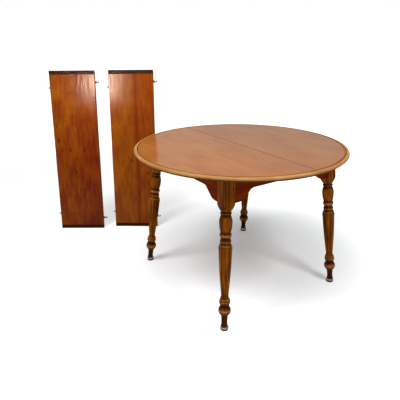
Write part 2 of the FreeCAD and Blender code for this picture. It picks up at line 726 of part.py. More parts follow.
def middle_slides():
    """The two middle rails, the braces that join them and the pinion axles."""
    pieces = []
    reach = slide_x + s.brace_overhang
    brace_low = rail_low - s.spacer_height - s.brace_thickness
    for end in (-1, 1):
        y = brace_y * end - s.brace_width / 2
        bar = box("brace_%d" % (end > 0), (-reach, y, brace_low),
                  (reach * 2, s.brace_width, s.brace_thickness))
        sizes = (s.spacer_width, s.brace_width, s.spacer_height)
        spacers = [box("spacer_%d_%d" % (end > 0, x > 0),
                       (slide_x * x - s.spacer_width / 2, y, rail_low - s.spacer_height), sizes)
                   for x in (-1, 1)]
        pieces.append(fuse("brace_and_spacers_%d" % (end > 0), [bar] + spacers))
    node(fuse("braces", pieces), "slide_braces", table_middle)
    screws, axles = [], []
    for x, side in ((-slide_x, "left"), (slide_x, "right")):
        middle_rail("middle_rail_" + side, x)
        for end in (-1, 1):
            for step in (-1, 1):
                place = at(x, brace_y * end + s.brace_screw_y * step, brace_low)
                screws.append(screw("brace_screw_%s_%d_%d" % (side, end > 0, step > 0), place,
                                    s.brace_thickness + s.spacer_height + s.screw_bite))
        head = rod("axle_head_" + side, s.axle_head_radius, s.axle_head_height,
                   at(x, 0, gear_low - s.gear_gap - s.axle_head_height))
        stem = rod("axle_stem_" + side, s.axle_radius, s.gear_gap * 2 + s.gear_height + s.axle_grip,
                   at(x, 0, gear_low - s.gear_gap))
        axles.append(fuse("axle_" + side, [head, stem]))
    node(fuse("brace_screws", screws), "brace_screws", table_middle)
    node(fuse("axles", axles), "pinion_axles", table_middle)


def screw(name, place, length):
    """A round-headed wood screw that rises from its head."""
    shank = rod(name + "_shank", s.screw_radius, length, place)
    head = turned(name + "_head", [
        (0, -s.screw_head_height),
        (s.screw_head_radius, 0, s.screw_head_swell),
        (0, 0),
    ])
    head.Placement = place
    return fuse(name, [shank, head])


def half_slides(letter, place, side_name):
    screws = []
    for x, side in ((-slide_x, -1), (slide_x, 1)):
        name = "%s_%s" % (letter, side_name(side))
        half_rail("slide_rail_" + name, x + rail_step, place)
        rack("rack_" + name, x + pitch_radius, place)
        for number in range(3):
            stand = at(x + rail_step + s.screw_offset, -(s.screw_inset + screw_spacing * number), rail_low)
            screws.append(screw("rail_screw_%s_%d" % (name, number), stand, s.rail_depth + s.screw_bite))
    node(fuse("rail_screw_set_" + letter, screws), "rail_screws_" + letter, place)


# ---- swinging lock hooks ----

def rivet(name, x, y, low_z, base, radius):
    """A plate on the underside with a headed pin below it; base holds the plate's corner and sizes."""
    plate = box(name + "_plate", (x + base[0], y + base[1], low_z - s.plate_thickness),
                (base[2], base[3], s.plate_thickness))
    pin = rod(name + "_pin", radius, hook_under - s.plate_thickness, at(x, y, low_z - hook_under))
    head = rod(name + "_head", s.hook_head_radius, s.hook_head_height,
               at(x, y, low_z - hook_under - s.hook_head_height))
    return fuse(name, [plate, pin, head])


def hook_bases(name, edge_y, inward, low_z, place):
    """Hook plates near an edge; inward is 1 or -1, the way from the edge into the board."""
    depth = s.plate_inset if inward > 0 else -(s.plate_inset + s.plate_length)
    pieces = [rivet("%s_%d" % (name, x > 0), hook_x * x, edge_y + s.hook_inset * inward, low_z,
                    (-s.plate_width / 2, depth - s.hook_inset * inward, s.plate_width, s.plate_length),
                    s.hook_pin_radius) for x in (-1, 1)]
    node(fuse(name + "_pair", pieces), name, place)


def lock_studs(name, edge_y, inward, low_z, place):
    """Studs that the hooks catch, near the edge that meets them."""
    inset = s.hook_reach - s.hook_inset - s.seam_gap
    side = s.stud_plate
    pieces = [rivet("%s_%d" % (name, x > 0), hook_x * x, edge_y + inset * inward, low_z,
                    (-side / 2, -side / 2, side, side), s.stud_radius) for x in (-1, 1)]
    node(fuse(name + "_pair", pieces), name, place)


def lock_hook(name, place):
    """A flat hook: pivot at its origin, arm towards -Y, its mouth open on the +X side."""
    half, mouth = s.hook_half_width, s.stud_radius + s.stud_play
    upper, lower = -(s.hook_reach - mouth), -(s.hook_reach + mouth)
    arm = body("arm_" + name)
    pad(arm, "XY_Plane", [(half, 0), (-half, 0, half), (-half, lower - s.hook_tip),
                          (half, lower - s.hook_tip, half), (half, lower), (0, lower),
                          (0, upper, -mouth), (half, upper)], s.hook_thickness,
        holes=[(0.0, 0.0, s.hook_pin_radius + s.bore_play)])
    node(arm, name, place)


def table_hooks(place):
    """Two hooks under half B, at rest swung in along the seam, clear of the other half."""
    for x, side in ((1, "left"), (-1, "right")):
        stand = at(hook_x * x, -(s.hook_inset + half_gap), under_z - hook_low - s.hook_thickness,
                   about((0, 0, 1), 90))
        lock_hook("lock_hook_" + side, place.multiply(stand))


# ---- loose leaves ----

def leaf_placement(number):
    """A leaf stands on one end with its top face to the front, and leans back.

    It is drawn flat, its length along X and its top face at z = 0.
    """
    turn = math.radians(float(getattr(s, "leaf_%d_angle" % number)))
    lean = math.radians(float(s.leaf_lean_angle))
    right = Vector(math.cos(turn), math.sin(turn), 0)
    back = Vector(-math.sin(turn), math.cos(turn), 0)
    rise = UP * math.cos(lean) + back * math.sin(lean)
    front = UP * math.sin(lean) - back * math.cos(lean)
    foot_lift = float(s.nose_radius + s.nose_flat) * math.sin(lean)
    left, front_y = getattr(s, "leaf_%d_left" % number), getattr(s, "leaf_%d_front" % number)
    foot = Vector(-float(left), -float(front_y), foot_lift)
    return Placement(foot + rise * float(s.top_radius), Rotation(rise, right * -1, front, "ZXY"))


def leaf(number):
    """Board, moulded ends, pins, studs and hooks; the pin edge is at +Y and the hook edge at -Y."""
    name = "leaf_%d" % number
    stand = table_middle.multiply(leaf_placement(number))
    half = leaf_width / 2
    inside = field_radius - s.glue_line
    board = body(name + "_board")
    low_z = -s.top_thickness
    pad(board, "XZ_Plane", [(-inside, low_z), (inside, low_z), (inside, 0), (-inside, 0)],
        leaf_width, middle=True)
    bores = []
    for x in (-1, 1):
        turn_in = about((1, 0, 0), -90)
        bores.append(rod("%s_hole_%d" % (name, x > 0), s.pin_radius + s.pin_hole_play,
                         s.pin_reach + s.pin_hole_spare, at(pin_x * x, -half, low_z / 2, turn_in)))
        bores.append(rod("%s_socket_%d" % (name, x > 0), s.pin_radius, s.pin_root,
                         at(pin_x * x, half - s.pin_root, low_z / 2, turn_in)))
    side = s.seam_bevel
    bevels = [box("%s_bevel_%d" % (name, way > 0), (-s.top_radius, -side / 2, -side / 2),
                  (s.top_radius * 2, side, side), at(0, half * way, 0, about((1, 0, 0), 45)))
              for way in (-1, 1)]
    node(cut(name + "_cut", board, bores + bevels), name + "_panel", stand)
    ends = []
    for way in (-1, 1):
        moulding = body("%s_moulding_%d" % (name, way > 0))
        profile = edge_profile(field_radius, s.top_radius, asSize(0.0))
        pad(moulding, "XZ_Plane", profile, leaf_width, middle=True)
        moulding.Placement = at(0, 0, 0, about((0, 0, 1), 90 - 90 * way))
        ends.append(moulding)
    eased = cut(name + "_end_cut", fuse(name + "_end_pair", ends), bevels)
    node(eased, name + "_end_mouldings", stand)
    pins = []
    for x in (-1, 1):
        start = at(pin_x * x, half - s.pin_root, low_z / 2, about((1, 0, 0), -90))
        pins.append(rod("%s_shank_%d" % (name, x > 0), s.pin_radius, s.pin_root + s.pin_reach, start))
    node(fuse(name + "_pin_pair", pins), name + "_pins", stand)
    lock_studs(name + "_studs", half, -1, low_z, stand)
    hook_bases(name + "_hook_bases", -half, 1, low_z, stand)
    for x, end in ((1, "upper"), (-1, "lower")):
        lock_hook("%s_hook_%s" % (name, end),
                  stand.multiply(at(hook_x * x, -half + s.hook_inset, low_z - hook_low - s.hook_thickness)))


# ---- the whole table ----

def half_table(letter, place, side_name, holds_pins):
    half_top(letter, place, holds_pins)
    aprons(letter, place, side_name)
    for side in (-1, 1):
        leg(side, "leg_%s_%s" % (letter, side_name(side)), place)
    glides(letter, place)
    corner_hardware(letter, place)
    half_slides(letter, place, side_name)


half_table("a", table_middle, lambda side: "left" if side < 0 else "right", True)
turned_round = table_middle.multiply(at(0, 0, 0, about((0, 0, 1), 180)))
half_table("b", turned_round, lambda side: "right" if side < 0 else "left", False)
locating_pins("locating_pins", table_middle)
lock_studs("lock_studs", -half_gap, -1, under_z, table_middle)
hook_bases("lock_hook_bases", -half_gap, -1, under_z, turned_round)
table_hooks(turned_round)
middle_slides()
pinion("pinion_left", -slide_x)
pinion("pinion_right", slide_x)
leaf(1)
leaf(2)
doc.recompute()

for item in doc.Objects:
    if "Invalid" in item.State or "Error" in item.State:
        raise RuntimeError("%s did not build" % item.Label)
for item in nodes:
    if item.Shape.isNull() or not item.Shape.isValid():
        raise RuntimeError("%s has no valid shape" % item.Label)

os.makedirs("parts", exist_ok=True)
for item in nodes:
    item.Shape.exportStep("parts/%s.step" % item.Label)
print("%d nodes" % len(nodes))
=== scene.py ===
import math

import bpy
import numpy as np
from mathutils import Matrix, Vector


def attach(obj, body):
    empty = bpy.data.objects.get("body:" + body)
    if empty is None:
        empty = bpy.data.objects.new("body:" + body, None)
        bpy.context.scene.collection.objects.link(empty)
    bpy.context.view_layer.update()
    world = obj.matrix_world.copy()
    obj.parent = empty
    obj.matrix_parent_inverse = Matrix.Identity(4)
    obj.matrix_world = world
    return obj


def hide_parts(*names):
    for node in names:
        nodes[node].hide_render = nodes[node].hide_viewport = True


# Round pull-apart dining table with two loose leaves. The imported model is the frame; this script
# dresses it. Lengths in the dictionaries are millimetres unless a note says otherwise.

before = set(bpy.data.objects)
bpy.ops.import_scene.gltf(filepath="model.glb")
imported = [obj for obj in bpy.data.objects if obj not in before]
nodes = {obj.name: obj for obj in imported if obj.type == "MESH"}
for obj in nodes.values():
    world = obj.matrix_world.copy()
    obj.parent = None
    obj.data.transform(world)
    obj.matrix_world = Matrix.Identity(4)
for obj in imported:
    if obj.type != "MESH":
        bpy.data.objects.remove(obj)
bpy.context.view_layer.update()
print("frame loaded:", len(nodes), "nodes")


def linear(hexColour):
    # sRGB to linear: c / 12.92 up to 0.04045, above it ((c + 0.055) / 1.055) to the power 2.4
    parts = [int(hexColour[i:i + 2], 16) / 255 for i in (1, 3, 5)]
    return [c / 12.92 if c <= 0.04045 else ((c + 0.055) / 1.055) ** 2.4 for c in parts] + [1.0]


def addNode(tree, kind, inputs=None, out=0, stops=(), **settings):
    # one node: its settings, the stops of a colour ramp, then each input as a value or as a link
    # from another node's output; it gives back the output that the next node reads
    made = tree.nodes.new(kind)
    for key, value in settings.items():
        setattr(made, key, value)
    for number, (place, colour) in enumerate(stops):
        band = made.color_ramp.elements
        element = band[number] if number < len(band) else band.new(place)
        element.position, element.color = place, colour
    for key, value in (inputs or {}).items():
        if isinstance(value, bpy.types.NodeSocket):
            tree.links.new(value, made.inputs[key])
        else:
            made.inputs[key].default_value = value
    return made.outputs[out] if made.outputs else None


def span(value, start, end, low, high):
    # the inputs of a Map Range node that carries start..end over to low..high
    return {"Value": value, "From Min": start, "From Max": end, "To Min": low, "To Max": high}


def newMaterial(name):
    material = bpy.data.materials.new(name)
    material.use_nodes = True
    material.node_tree.nodes.clear()
    return material, material.node_tree


def smoothStep(edge0, edge1, value):
    # 0 up to the first edge, 1 past the second, and 3 s s - 2 s s s at the share s between them
    share = np.clip((value - edge0) / (edge1 - edge0), 0, 1)
    return share * share * (3 - 2 * share)


# Grid of points (rows, columns, 3) to a closed mesh: each cell is one quad, the columns wrap round,
# and the first and the last row are closed by a fan about their own middle.
def gridMesh(name, points, place, glaze):
    rows, columns = points.shape[:2]
    index = np.arange(rows * columns).reshape(rows, columns)
    low, high = index[:-1], index[1:]
    quads = np.stack([low, np.roll(low, -1, 1), np.roll(high, -1, 1), high], -1).reshape(-1, 4)
    flat, placeFlat, glazeAndPaintedLightFlat = points.reshape(-1, 3), place.reshape(-1, 3), glaze.reshape(-1)
    fans = []
    for row, turned in ((index[0], True), (index[-1], False)):
        centre = len(flat)
        flat = np.vstack([flat, flat[row].mean(0)])
        placeFlat = np.vstack([placeFlat, placeFlat[row].mean(0)])
        glazeAndPaintedLightFlat = np.append(glazeAndPaintedLightFlat, glazeAndPaintedLightFlat[row].mean())
        fan = np.stack([row, np.roll(row, -1), np.full(columns, centre)], -1)
        fans.append(fan[:, ::-1] if turned else fan)
    return buildMesh(name, flat, quads, np.vstack(fans), placeFlat, glazeAndPaintedLightFlat)


creaseAngle = 35.0  # degrees: an edge that turns by more than this stays crisp


# Vertices and faces to an object in metres. The signed volume, a sixth of the sum of a . (b x c)
# over the triangles, tells whether the faces point outwards, and they are turned round if not.
def buildMesh(name, points, quads, triangles, place, glaze):
    split = np.vstack([quads[:, [0, 1, 2]], quads[:, [0, 2, 3]], triangles])
    a, b, c = (points[split[:, k]] for k in range(3))
    if np.einsum("ij,ij->i", a, np.cross(b, c)).sum() < 0:
        quads, triangles = quads[:, ::-1], triangles[:, ::-1]
    mesh = bpy.data.meshes.new(name)
    corners = np.concatenate([quads.ravel(), triangles.ravel()]).astype(np.int32)
    sizes = np.concatenate([np.full(len(quads), 4), np.full(len(triangles), 3)])
    starts = np.concatenate([[0], np.cumsum(sizes)[:-1]]).astype(np.int32)
    mesh.vertices.add(len(points))
    mesh.loops.add(len(corners))
    mesh.polygons.add(len(sizes))
    mesh.vertices.foreach_set("co", (points / 1000).astype(np.float32).ravel())
    mesh.loops.foreach_set("vertex_index", corners)
    mesh.polygons.foreach_set("loop_start", starts)
    mesh.polygons.foreach_set("use_smooth", np.ones(len(sizes), bool))
    mesh.update(calc_edges=True)
    mesh.attributes.new("woodPlace", "FLOAT_VECTOR", "POINT").data.foreach_set(
        "vector", (place / 1000).astype(np.float32).ravel())
    mesh.attributes.new("glaze", "FLOAT", "POINT").data.foreach_set("value", glaze.astype(np.float32))
    mesh.set_sharp_from_angle(angle=math.radians(creaseAngle))
    mesh.validate()
    piece = bpy.data.objects.new(name, mesh)
    bpy.context.scene.collection.objects.link(piece)
    return piece


def dress(piece, material, bodyName, slotName, *replaced):
    piece.data.materials.append(material)
    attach(piece, bodyName)
    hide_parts(*replaced)


# Repeated from the part: the middle of the table, the top with its nose (a quarter round over a
# flat), and each leaf's foot from the table's middle, with its turn and its lean in degrees.
standing = {
    "tableMiddle": (363.3, 76.5), "tableHeight": 740.0, "topThickness": 20.0, "topRadius": 533.4,
    "noseRadius": 8.0, "noseFlat": 3.0, "halfGap": 0.3, "leafLean": 8.6, "leafWidth": 296.0,
    "leaves": {"leaf_1": (-1030.0, -564.0, 56.5), "leaf_2": (-846.0, -235.0, 55.6)},
}
underZ = standing["tableHeight"] - standing["topThickness"]
tableCentre = (*standing["tableMiddle"], standing["tableHeight"])


def halfTurn(points, half):
    # half A is worked out about the table's middle, and half B is half A turned by 180 degrees
    sign = 1.0 if half == "a" else -1.0
    moved = points * np.array([sign, sign, 1.0])
    return moved + np.array([*standing["tableMiddle"], 0.0])


def handOf(half, side):
    # which hand a side of half A, -1 or 1 along X, has on this half
    return "left" if (side < 0) == (half == "a") else "right"


def leafAxes(name):
    # the middle of the leaf's face, then length up the leaning board, width to the left, and the
    # face's normal to the front; the board stands on the back edge of its nose's flat
    x, y, turn = standing["leaves"][name]
    turn, lean = math.radians(turn), math.radians(standing["leafLean"])
    right = np.array([math.cos(turn), math.sin(turn), 0.0])
    back = np.array([-math.sin(turn), math.cos(turn), 0.0])
    rise = np.array([0.0, 0.0, math.cos(lean)]) + back * math.sin(lean)
    front = np.array([0.0, 0.0, math.sin(lean)]) - back * math.cos(lean)
    lift = (standing["noseRadius"] + standing["noseFlat"]) * math.sin(lean)
    foot = np.array([x, y, lift]) + np.array([*standing["tableMiddle"], 0.0])
    return foot + rise * standing["topRadius"], rise, -right, front


# A profile is a list of corners (out, up) or (out, up, swell). The line that arrives at a corner
# with a swell is an arc whose crown stands that far to the right of its chord: with chord c and
# swell h its radius is c * c / (8 * h) + h / 2.
def traceProfile(corners, step):
    pieces = []
    for before, corner in zip(corners[:-1], corners[1:]):
        start, end = np.array(before[:2], float), np.array(corner[:2], float)
        chord = end - start
        length = np.hypot(*chord)
        count = max(2, int(np.ceil(length / step)) + 1)
        share = np.linspace(0, 1, count)[:-1, None]
        points = start + chord * share
        if len(corner) > 2:
            swell = corner[2]
            side = np.array([chord[1], -chord[0]]) / length
            radius = length * length / (8 * swell) + swell / 2
            centre = (start + end) / 2 + side * (swell - radius)
            first = np.arctan2(*(start - centre)[::-1])
            half = 2 * math.asin(min(1.0, length / (2 * abs(radius))))
            angle = first + np.sign(swell) * half * share
            points = centre + abs(radius) * np.concatenate([np.cos(angle), np.sin(angle)], 1)
        pieces.append(points)
    pieces.append(np.array(corners[-1][:2], float)[None])
    return np.vstack(pieces)


# Each wood is read from woodPlace, metres along, across and through the board it was cut from, or
# from Object coordinates turned to the board. In a wood's own dictionary the pairs bend, streak,
# fibre, cloud and film are the cells of a noise along and across the grain, and pith is how far
# the heart lies beside and below the board. What all the woods share stands here.
wood = {
    "noises": {  # detail and roughness of each noise
        "bend": (2.0, 0.5), "streak": (3.0, 0.6), "fibre": (2.0, 0.7), "cloud": (2.0, 0.55),
        "film": (1.0, 0.5)},
    "latePower": 2.2,  # how late in each ring the dark wood comes
    # the noise values at which a tint begins and is full, and how far the clouds vary the roughness
    "cloudSpan": (0.35, 0.65), "poreSpan": (0.52, 0.75), "roughSpan": (0.3, 0.7), "roughVaries": 0.05,
    # the attribute of glaze and painted light is 1 in a full hollow, where it stands for glaze and painted
    # shade, and -1 at a painted highlight on a leg or on the rim's strip, which takes the veneer's colour;
    # streaks fray its edge
    "darkSpan": (0.30, 0.95), "streakFray": 0.5, "wipedSpan": (-0.1, -0.7), "wipedShare": 0.75,
    "fibreRelief": -0.6, "ringRelief": -0.4,  # shares of the grain's depth
    "knotStretch": 1.6, "knotCore": 0.35, "knotShare": 0.75, "seamShare": 0.9,
}
# settings of a Mix node on colours; its inputs are 0, the share, and 6 and 7, the two colours
tinted = {"out": 2, "data_type": "RGBA", "blend_type": "MULTIPLY"}
covered = {"out": 2, "data_type": "RGBA", "blend_type": "MIX"}


def woodNoise(tree, vector, spec, name):
    along, across = spec[name]
    detail, roughness = wood["noises"][name]
    cells = addNode(tree, "ShaderNodeMapping", {
        "Vector": vector, "Scale": (1000 / along, 1000 / across, 1000 / across)})
    return addNode(tree, "ShaderNodeTexNoise", {
        "Vector": cells, "Scale": 1.0, "Detail": detail, "Roughness": roughness})


def growthRings(tree, vector, bend, spec):
    # the distance from the pith, plus a taper along the board and the slow bend noise, in ring
    # widths; its fraction runs from 0 to 1 over each ring, and the power leaves the late wood
    side, depth = spec["pith"]
    fromPith = addNode(tree, "ShaderNodeVectorMath", {
        0: vector, 1: (0.0, 1.0, 1.0), 2: (0.0, side / 1000, depth / 1000)}, operation="MULTIPLY_ADD")
    distance = addNode(tree, "ShaderNodeVectorMath", {0: fromPith}, out="Value", operation="LENGTH")
    along = addNode(tree, "ShaderNodeSeparateXYZ", {"Vector": vector}, out="X")
    tapered = addNode(tree, "ShaderNodeMath", {0: along, 1: spec["taper"], 2: distance},
                      operation="MULTIPLY_ADD")
    bent = addNode(tree, "ShaderNodeMath", {0: bend, 1: spec["bendDepth"] / 1000, 2: tapered},
                   operation="MULTIPLY_ADD")
    turns = addNode(tree, "ShaderNodeMath", {0: bent, 1: 1000 / spec["ringSpacing"]},
                    operation="MULTIPLY")
    saw = addNode(tree, "ShaderNodeMath", {0: turns}, operation="FRACT")
    return addNode(tree, "ShaderNodeMath", {0: saw, 1: wood["latePower"]}, operation="POWER")


def fadeAlong(tree, place, axis, ends):
    # 0 at the first end and 1 at the second, along one of the board's axes
    at = addNode(tree, "ShaderNodeSeparateXYZ", {"Vector": place}, out=axis)
    start, end = (size / 1000 for size in ends)
    return addNode(tree, "ShaderNodeMapRange", span(at, start, end, 0.0, 1.0),
                   interpolation_type="SMOOTHSTEP")


def splitBoards(tree, place, boards):
    # two boards glued edge to edge: the right one takes its own stretch of grain and its own tone, a tint
    # fades in along the length, which on the first leaf is painted shade, and the heart darkens the joint
    across = addNode(tree, "ShaderNodeSeparateXYZ", {"Vector": place}, out="Y")
    beside = addNode(tree, "ShaderNodeMath", {0: across, 1: boards["joint"] / 1000},
                     operation="SUBTRACT")
    right = addNode(tree, "ShaderNodeMath", {0: beside, 1: 0.0}, operation="LESS_THAN")
    slide = addNode(tree, "ShaderNodeMath", {0: right, 1: boards["grainShift"] / 1000},
                    operation="MULTIPLY")
    shift = addNode(tree, "ShaderNodeCombineXYZ", {"X": slide})
    moved = addNode(tree, "ShaderNodeVectorMath", {0: place, 1: shift}, operation="ADD")
    tone = addNode(tree, "ShaderNodeMix", {
        0: right, 6: linear("#FFFFFF"), 7: linear(boards["rightTint"])}, **covered)
    far = fadeAlong(tree, place, "X", boards["drift"])
    tone = addNode(tree, "ShaderNodeMix", {0: far, 6: tone, 7: linear(boards["driftTint"])}, **tinted)
    away = addNode(tree, "ShaderNodeMath", {0: beside}, operation="ABSOLUTE")
    near, clear = (size / 1000 for size in boards["jointReach"])
    line = addNode(tree, "ShaderNodeMapRange", span(away, near, clear, boards["jointDark"], 0.0),
                   interpolation_type="SMOOTHSTEP")
    tone = addNode(tree, "ShaderNodeMix", {0: line, 6: tone, 7: linear(boards["jointTint"])}, **tinted)
    return moved, tone


def addKnot(tree, place, colour, knotColour, along, across, size):
    # a pin knot: a dark spot drawn out along the grain, full in its core and gone at its edge
    long = size * wood["knotStretch"]
    shifted = addNode(tree, "ShaderNodeMapping", {
        "Vector": place, "Location": (-along / long, -across / size, 0.0),
        "Scale": (1000 / long, 1000 / size, 0.0)})
    distance = addNode(tree, "ShaderNodeVectorMath", {0: shifted}, out="Value", operation="LENGTH")
    share = addNode(tree, "ShaderNodeMapRange",
                    span(distance, wood["knotCore"], 1.0, wood["knotShare"], 0.0),
                    interpolation_type="SMOOTHSTEP")
    return addNode(tree, "ShaderNodeMix", {0: share, 6: colour, 7: linear(knotColour)}, **covered)


def addGlazeAndPaintedLight(tree, colour, streaks, glaze):
    # dark glaze and painted shade where the attribute is high, and a paler colour for painted highlights and
    # for the rim's strip where it is below 0
    depth = addNode(tree, "ShaderNodeAttribute", out="Fac", attribute_name="glaze")
    frayed = addNode(tree, "ShaderNodeMath", {0: streaks, 1: wood["streakFray"], 2: depth},
                     operation="MULTIPLY_ADD")
    dark = addNode(tree, "ShaderNodeMapRange", span(frayed, *wood["darkSpan"], 0.0, glaze["strength"]))
    colour = addNode(tree, "ShaderNodeMix", {0: dark, 6: colour, 7: linear(glaze["colour"])}, **covered)
    stripAndHighlight = addNode(tree, "ShaderNodeMapRange", span(depth, *wood["wipedSpan"], 0.0, wood["wipedShare"]))
    return addNode(tree, "ShaderNodeMix", {0: stripAndHighlight, 6: colour, 7: linear(glaze["wiped"])}, **covered)


def addSeam(tree, place, colour, seam):
    # a dark line on the seam, full up to the first distance from it and gone at the second
    across = addNode(tree, "ShaderNodeSeparateXYZ", {"Vector": place}, out="Y")
    away = addNode(tree, "ShaderNodeMath", {0: across}, operation="ABSOLUTE")
    near, clear = (size / 1000 for size in seam["reach"])
    share = addNode(tree, "ShaderNodeMapRange", span(away, near, clear, wood["seamShare"], 0.0))
    return addNode(tree, "ShaderNodeMix", {0: share, 6: colour, 7: linear(seam["colour"])}, **covered)


def woodColour(tree, place, noises, rings, tints, spec):
    # the streaks' ramp, tinted in turn by late wood, clouds, the board's tints, painted shade among them on
    # the top and the first leaf, and the pores
    reach = spec["streakReach"]
    colour = addNode(tree, "ShaderNodeValToRGB", {"Fac": noises["streak"]}, stops=[
        (0.5 - reach, linear(spec["dark"])), (0.5, linear(spec["middle"])),
        (0.5 + reach, linear(spec["light"]))])
    late = addNode(tree, "ShaderNodeMath", {0: rings, 1: spec["ringStrength"]}, operation="MULTIPLY")
    clouds = addNode(tree, "ShaderNodeMapRange",
                     span(noises["cloud"], *wood["cloudSpan"], 0.0, spec["cloudStrength"]))
    pores = addNode(tree, "ShaderNodeMapRange",
                    span(noises["fibre"], *wood["poreSpan"], 0.0, spec["fibreStrength"]))
    for share, tint in [(late, linear(spec["lateWood"])), (clouds, linear(spec["cloudTint"])),
                        *tints, (pores, linear(spec["pore"]))]:
        colour = addNode(tree, "ShaderNodeMix", {0: share, 6: colour, 7: tint}, **tinted)
    for knot in spec.get("knots", ()):
        colour = addKnot(tree, place, colour, spec["knotColour"], *knot)
    if "glaze" in spec:
        colour = addGlazeAndPaintedLight(tree, colour, noises["streak"], spec["glaze"])
    if "seam" in spec:
        colour = addSeam(tree, place, colour, spec["seam"])
    return colour


def woodMaterial(name, spec, turned=None):
    material, tree = newMaterial(name)
    if turned is None:
        place = addNode(tree, "ShaderNodeAttribute", out="Vector", attribute_name="woodPlace")
    else:
        place = addNode(tree, "ShaderNodeMapping", {
            "Vector": addNode(tree, "ShaderNodeTexCoord", out="Object"), **turned},
            vector_type="TEXTURE")
    vector, tints = place, []
    if "boards" in spec:
        vector, tone = splitBoards(tree, place, spec["boards"])
        tints.append((1.0, tone))
    # on the top, a tint of painted shade that fades in towards the back
    if "cross" in spec:
        far = fadeAlong(tree, place, "Y", spec["cross"]["drift"])
        tints.append((far, linear(spec["cross"]["tint"])))
    noises = {key: woodNoise(tree, vector, spec, key) for key in wood["noises"]}
    rings = growthRings(tree, vector, noises["bend"], spec)
    colour = woodColour(tree, place, noises, rings, tints, spec)
    ringHeight = addNode(tree, "ShaderNodeMath", {0: rings, 1: wood["ringRelief"]},
                         operation="MULTIPLY")
    height = addNode(tree, "ShaderNodeMath", {
        0: noises["fibre"], 1: wood["fibreRelief"], 2: ringHeight}, operation="MULTIPLY_ADD")
    grain = addNode(tree, "ShaderNodeBump", {
        "Height": height, "Strength": 1.0, "Distance": spec["grainDepth"] / 1000})
    film = addNode(tree, "ShaderNodeBump", {
        "Height": noises["film"], "Strength": 1.0, "Distance": spec["filmDepth"] / 1000})
    least, most = (spec["roughness"] + sign * wood["roughVaries"] for sign in (-1, 1))
    rough = addNode(tree, "ShaderNodeMapRange", span(noises["cloud"], *wood["roughSpan"], least, most))
    # the lacquer's coat gives the shine, and the wood under it adds none of its own
    shader = addNode(tree, "ShaderNodeBsdfPrincipled", {
        "Base Color": colour, "Metallic": spec["fibreFlash"], "Roughness": rough, "IOR": 1.5,
        "Specular IOR Level": 0.0, "Coat Weight": spec["coat"], "Coat IOR": 1.5,
        "Coat Roughness": spec["coatRoughness"], "Normal": grain, "Coat Normal": film})
    addNode(tree, "ShaderNodeOutputMaterial", {"Surface": shader})
    return material


# cherry veneer, sliced flat under sprayed gloss lacquer: what the top's and the leaves' share
cherry = {
    "streakReach": 0.20, "pith": (40.0, 60.0), "taper": 0.012, "bendDepth": 40.0, "grainDepth": 0.03,
    "roughness": 0.42, "fibreFlash": 0.0,
}
# the top's is laid with its grain along the seam: an even warm brown with slow reddish clouds, faint
# rings, and pores that show only close to
topVeneer = dict(
    cherry, light="#B97A3D", middle="#B37339", dark="#AD6C35", streak=(420.0, 16.0),
    lateWood="#D79A62", ringStrength=0.2, ringSpacing=14.0, bend=(420.0, 90.0), pore="#9A6A42",
    fibre=(26.0, 1.3), fibreStrength=0.25, cloudTint="#D08A5A", cloud=(300.0, 150.0),
    cloudStrength=0.35, film=(42.0, 42.0), filmDepth=0.012, coat=0.42, coatRoughness=0.10,
    # old polish darkens the eased edges at the seam, in half widths
    seam={"colour": "#5C3016", "reach": (1.8, 3.0)},
    # painted shade: the top turns cooler and less red towards the back, where less of the lamps' light falls
    cross={"tint": "#ECF4FF", "drift": (-250.0, 300.0)})
# the leaves' comes from near the heart and is stained deeper: strong streaks and clouds, coarse pores, pin
# knots (along, across, size), and a thinner lacquer that lies in long ripples; on this leaf the length tint
# is painted shade, redder and darker towards the foot
leafVeneer = dict(
    cherry, light="#9A5602", middle="#8C4801", dark="#7E3C00", streak=(160.0, 13.0),
    lateWood="#C08850", ringStrength=0.35, ringSpacing=13.0, bend=(420.0, 60.0), pore="#6A3A1C",
    fibre=(34.0, 3.0), fibreStrength=0.4, cloudTint="#C07A44", cloud=(140.0, 70.0),
    cloudStrength=0.7, film=(110.0, 15.0), filmDepth=0.35, coat=0.11, coatRoughness=0.15,
    boards={"joint": -8.0, "grainShift": 1700.0, "rightTint": "#F2DCC8", "drift": (300.0, -60.0),
            "driftTint": "#FFE6D0", "jointDark": 0.0, "jointReach": (1.0, 26.0),
            "jointTint": "#C88A68"},
    knotColour="#4A1202",
    knots=[(20.0, 47.0, 12.0), (19.0, -50.0, 12.0), (84.0, 120.0, 14.0), (92.0, 58.0, 8.0),
           (180.0, 124.0, 8.0), (-40.0, 4.0, 8.0), (-132.0, 12.0, 10.0), (390.0, 22.0, 8.0),
           (-365.0, -86.0, 7.0), (-430.0, 30.0, 6.0)])
# the second leaf's is lighter and plainer, and its glued joint shows
leafVeneerPlain = dict(
    leafVeneer, light="#AE6204", middle="#A25604", dark="#944A02", pith=(70.0, 60.0),
    cloudStrength=0.5, knots=[(-62.0, 18.0, 12.0), (-150.0, -96.0, 10.0)],
    boards=dict(leafVeneer["boards"], joint=-24.0, rightTint="#FAE6CE", drift=(-260.0, 60.0),
                driftTint="#E6E2DC", jointDark=0.6))

# what the close-grained woods share: fine rings, soft clouds and a thin smooth film
closeGrain = {
    "streakReach": 0.20, "ringSpacing": 5.0, "pith": (25.0, 30.0), "taper": 0.01,
    "bend": (260.0, 50.0), "bendDepth": 12.0, "fibreStrength": 0.35, "pore": "#8A5A2A",
    "cloud": (180.0, 90.0), "cloudStrength": 0.4, "cloudTint": "#B8864A", "grainDepth": 0.03,
    "film": (30.0, 30.0), "filmDepth": 0.008, "fibreFlash": 0.0,
}
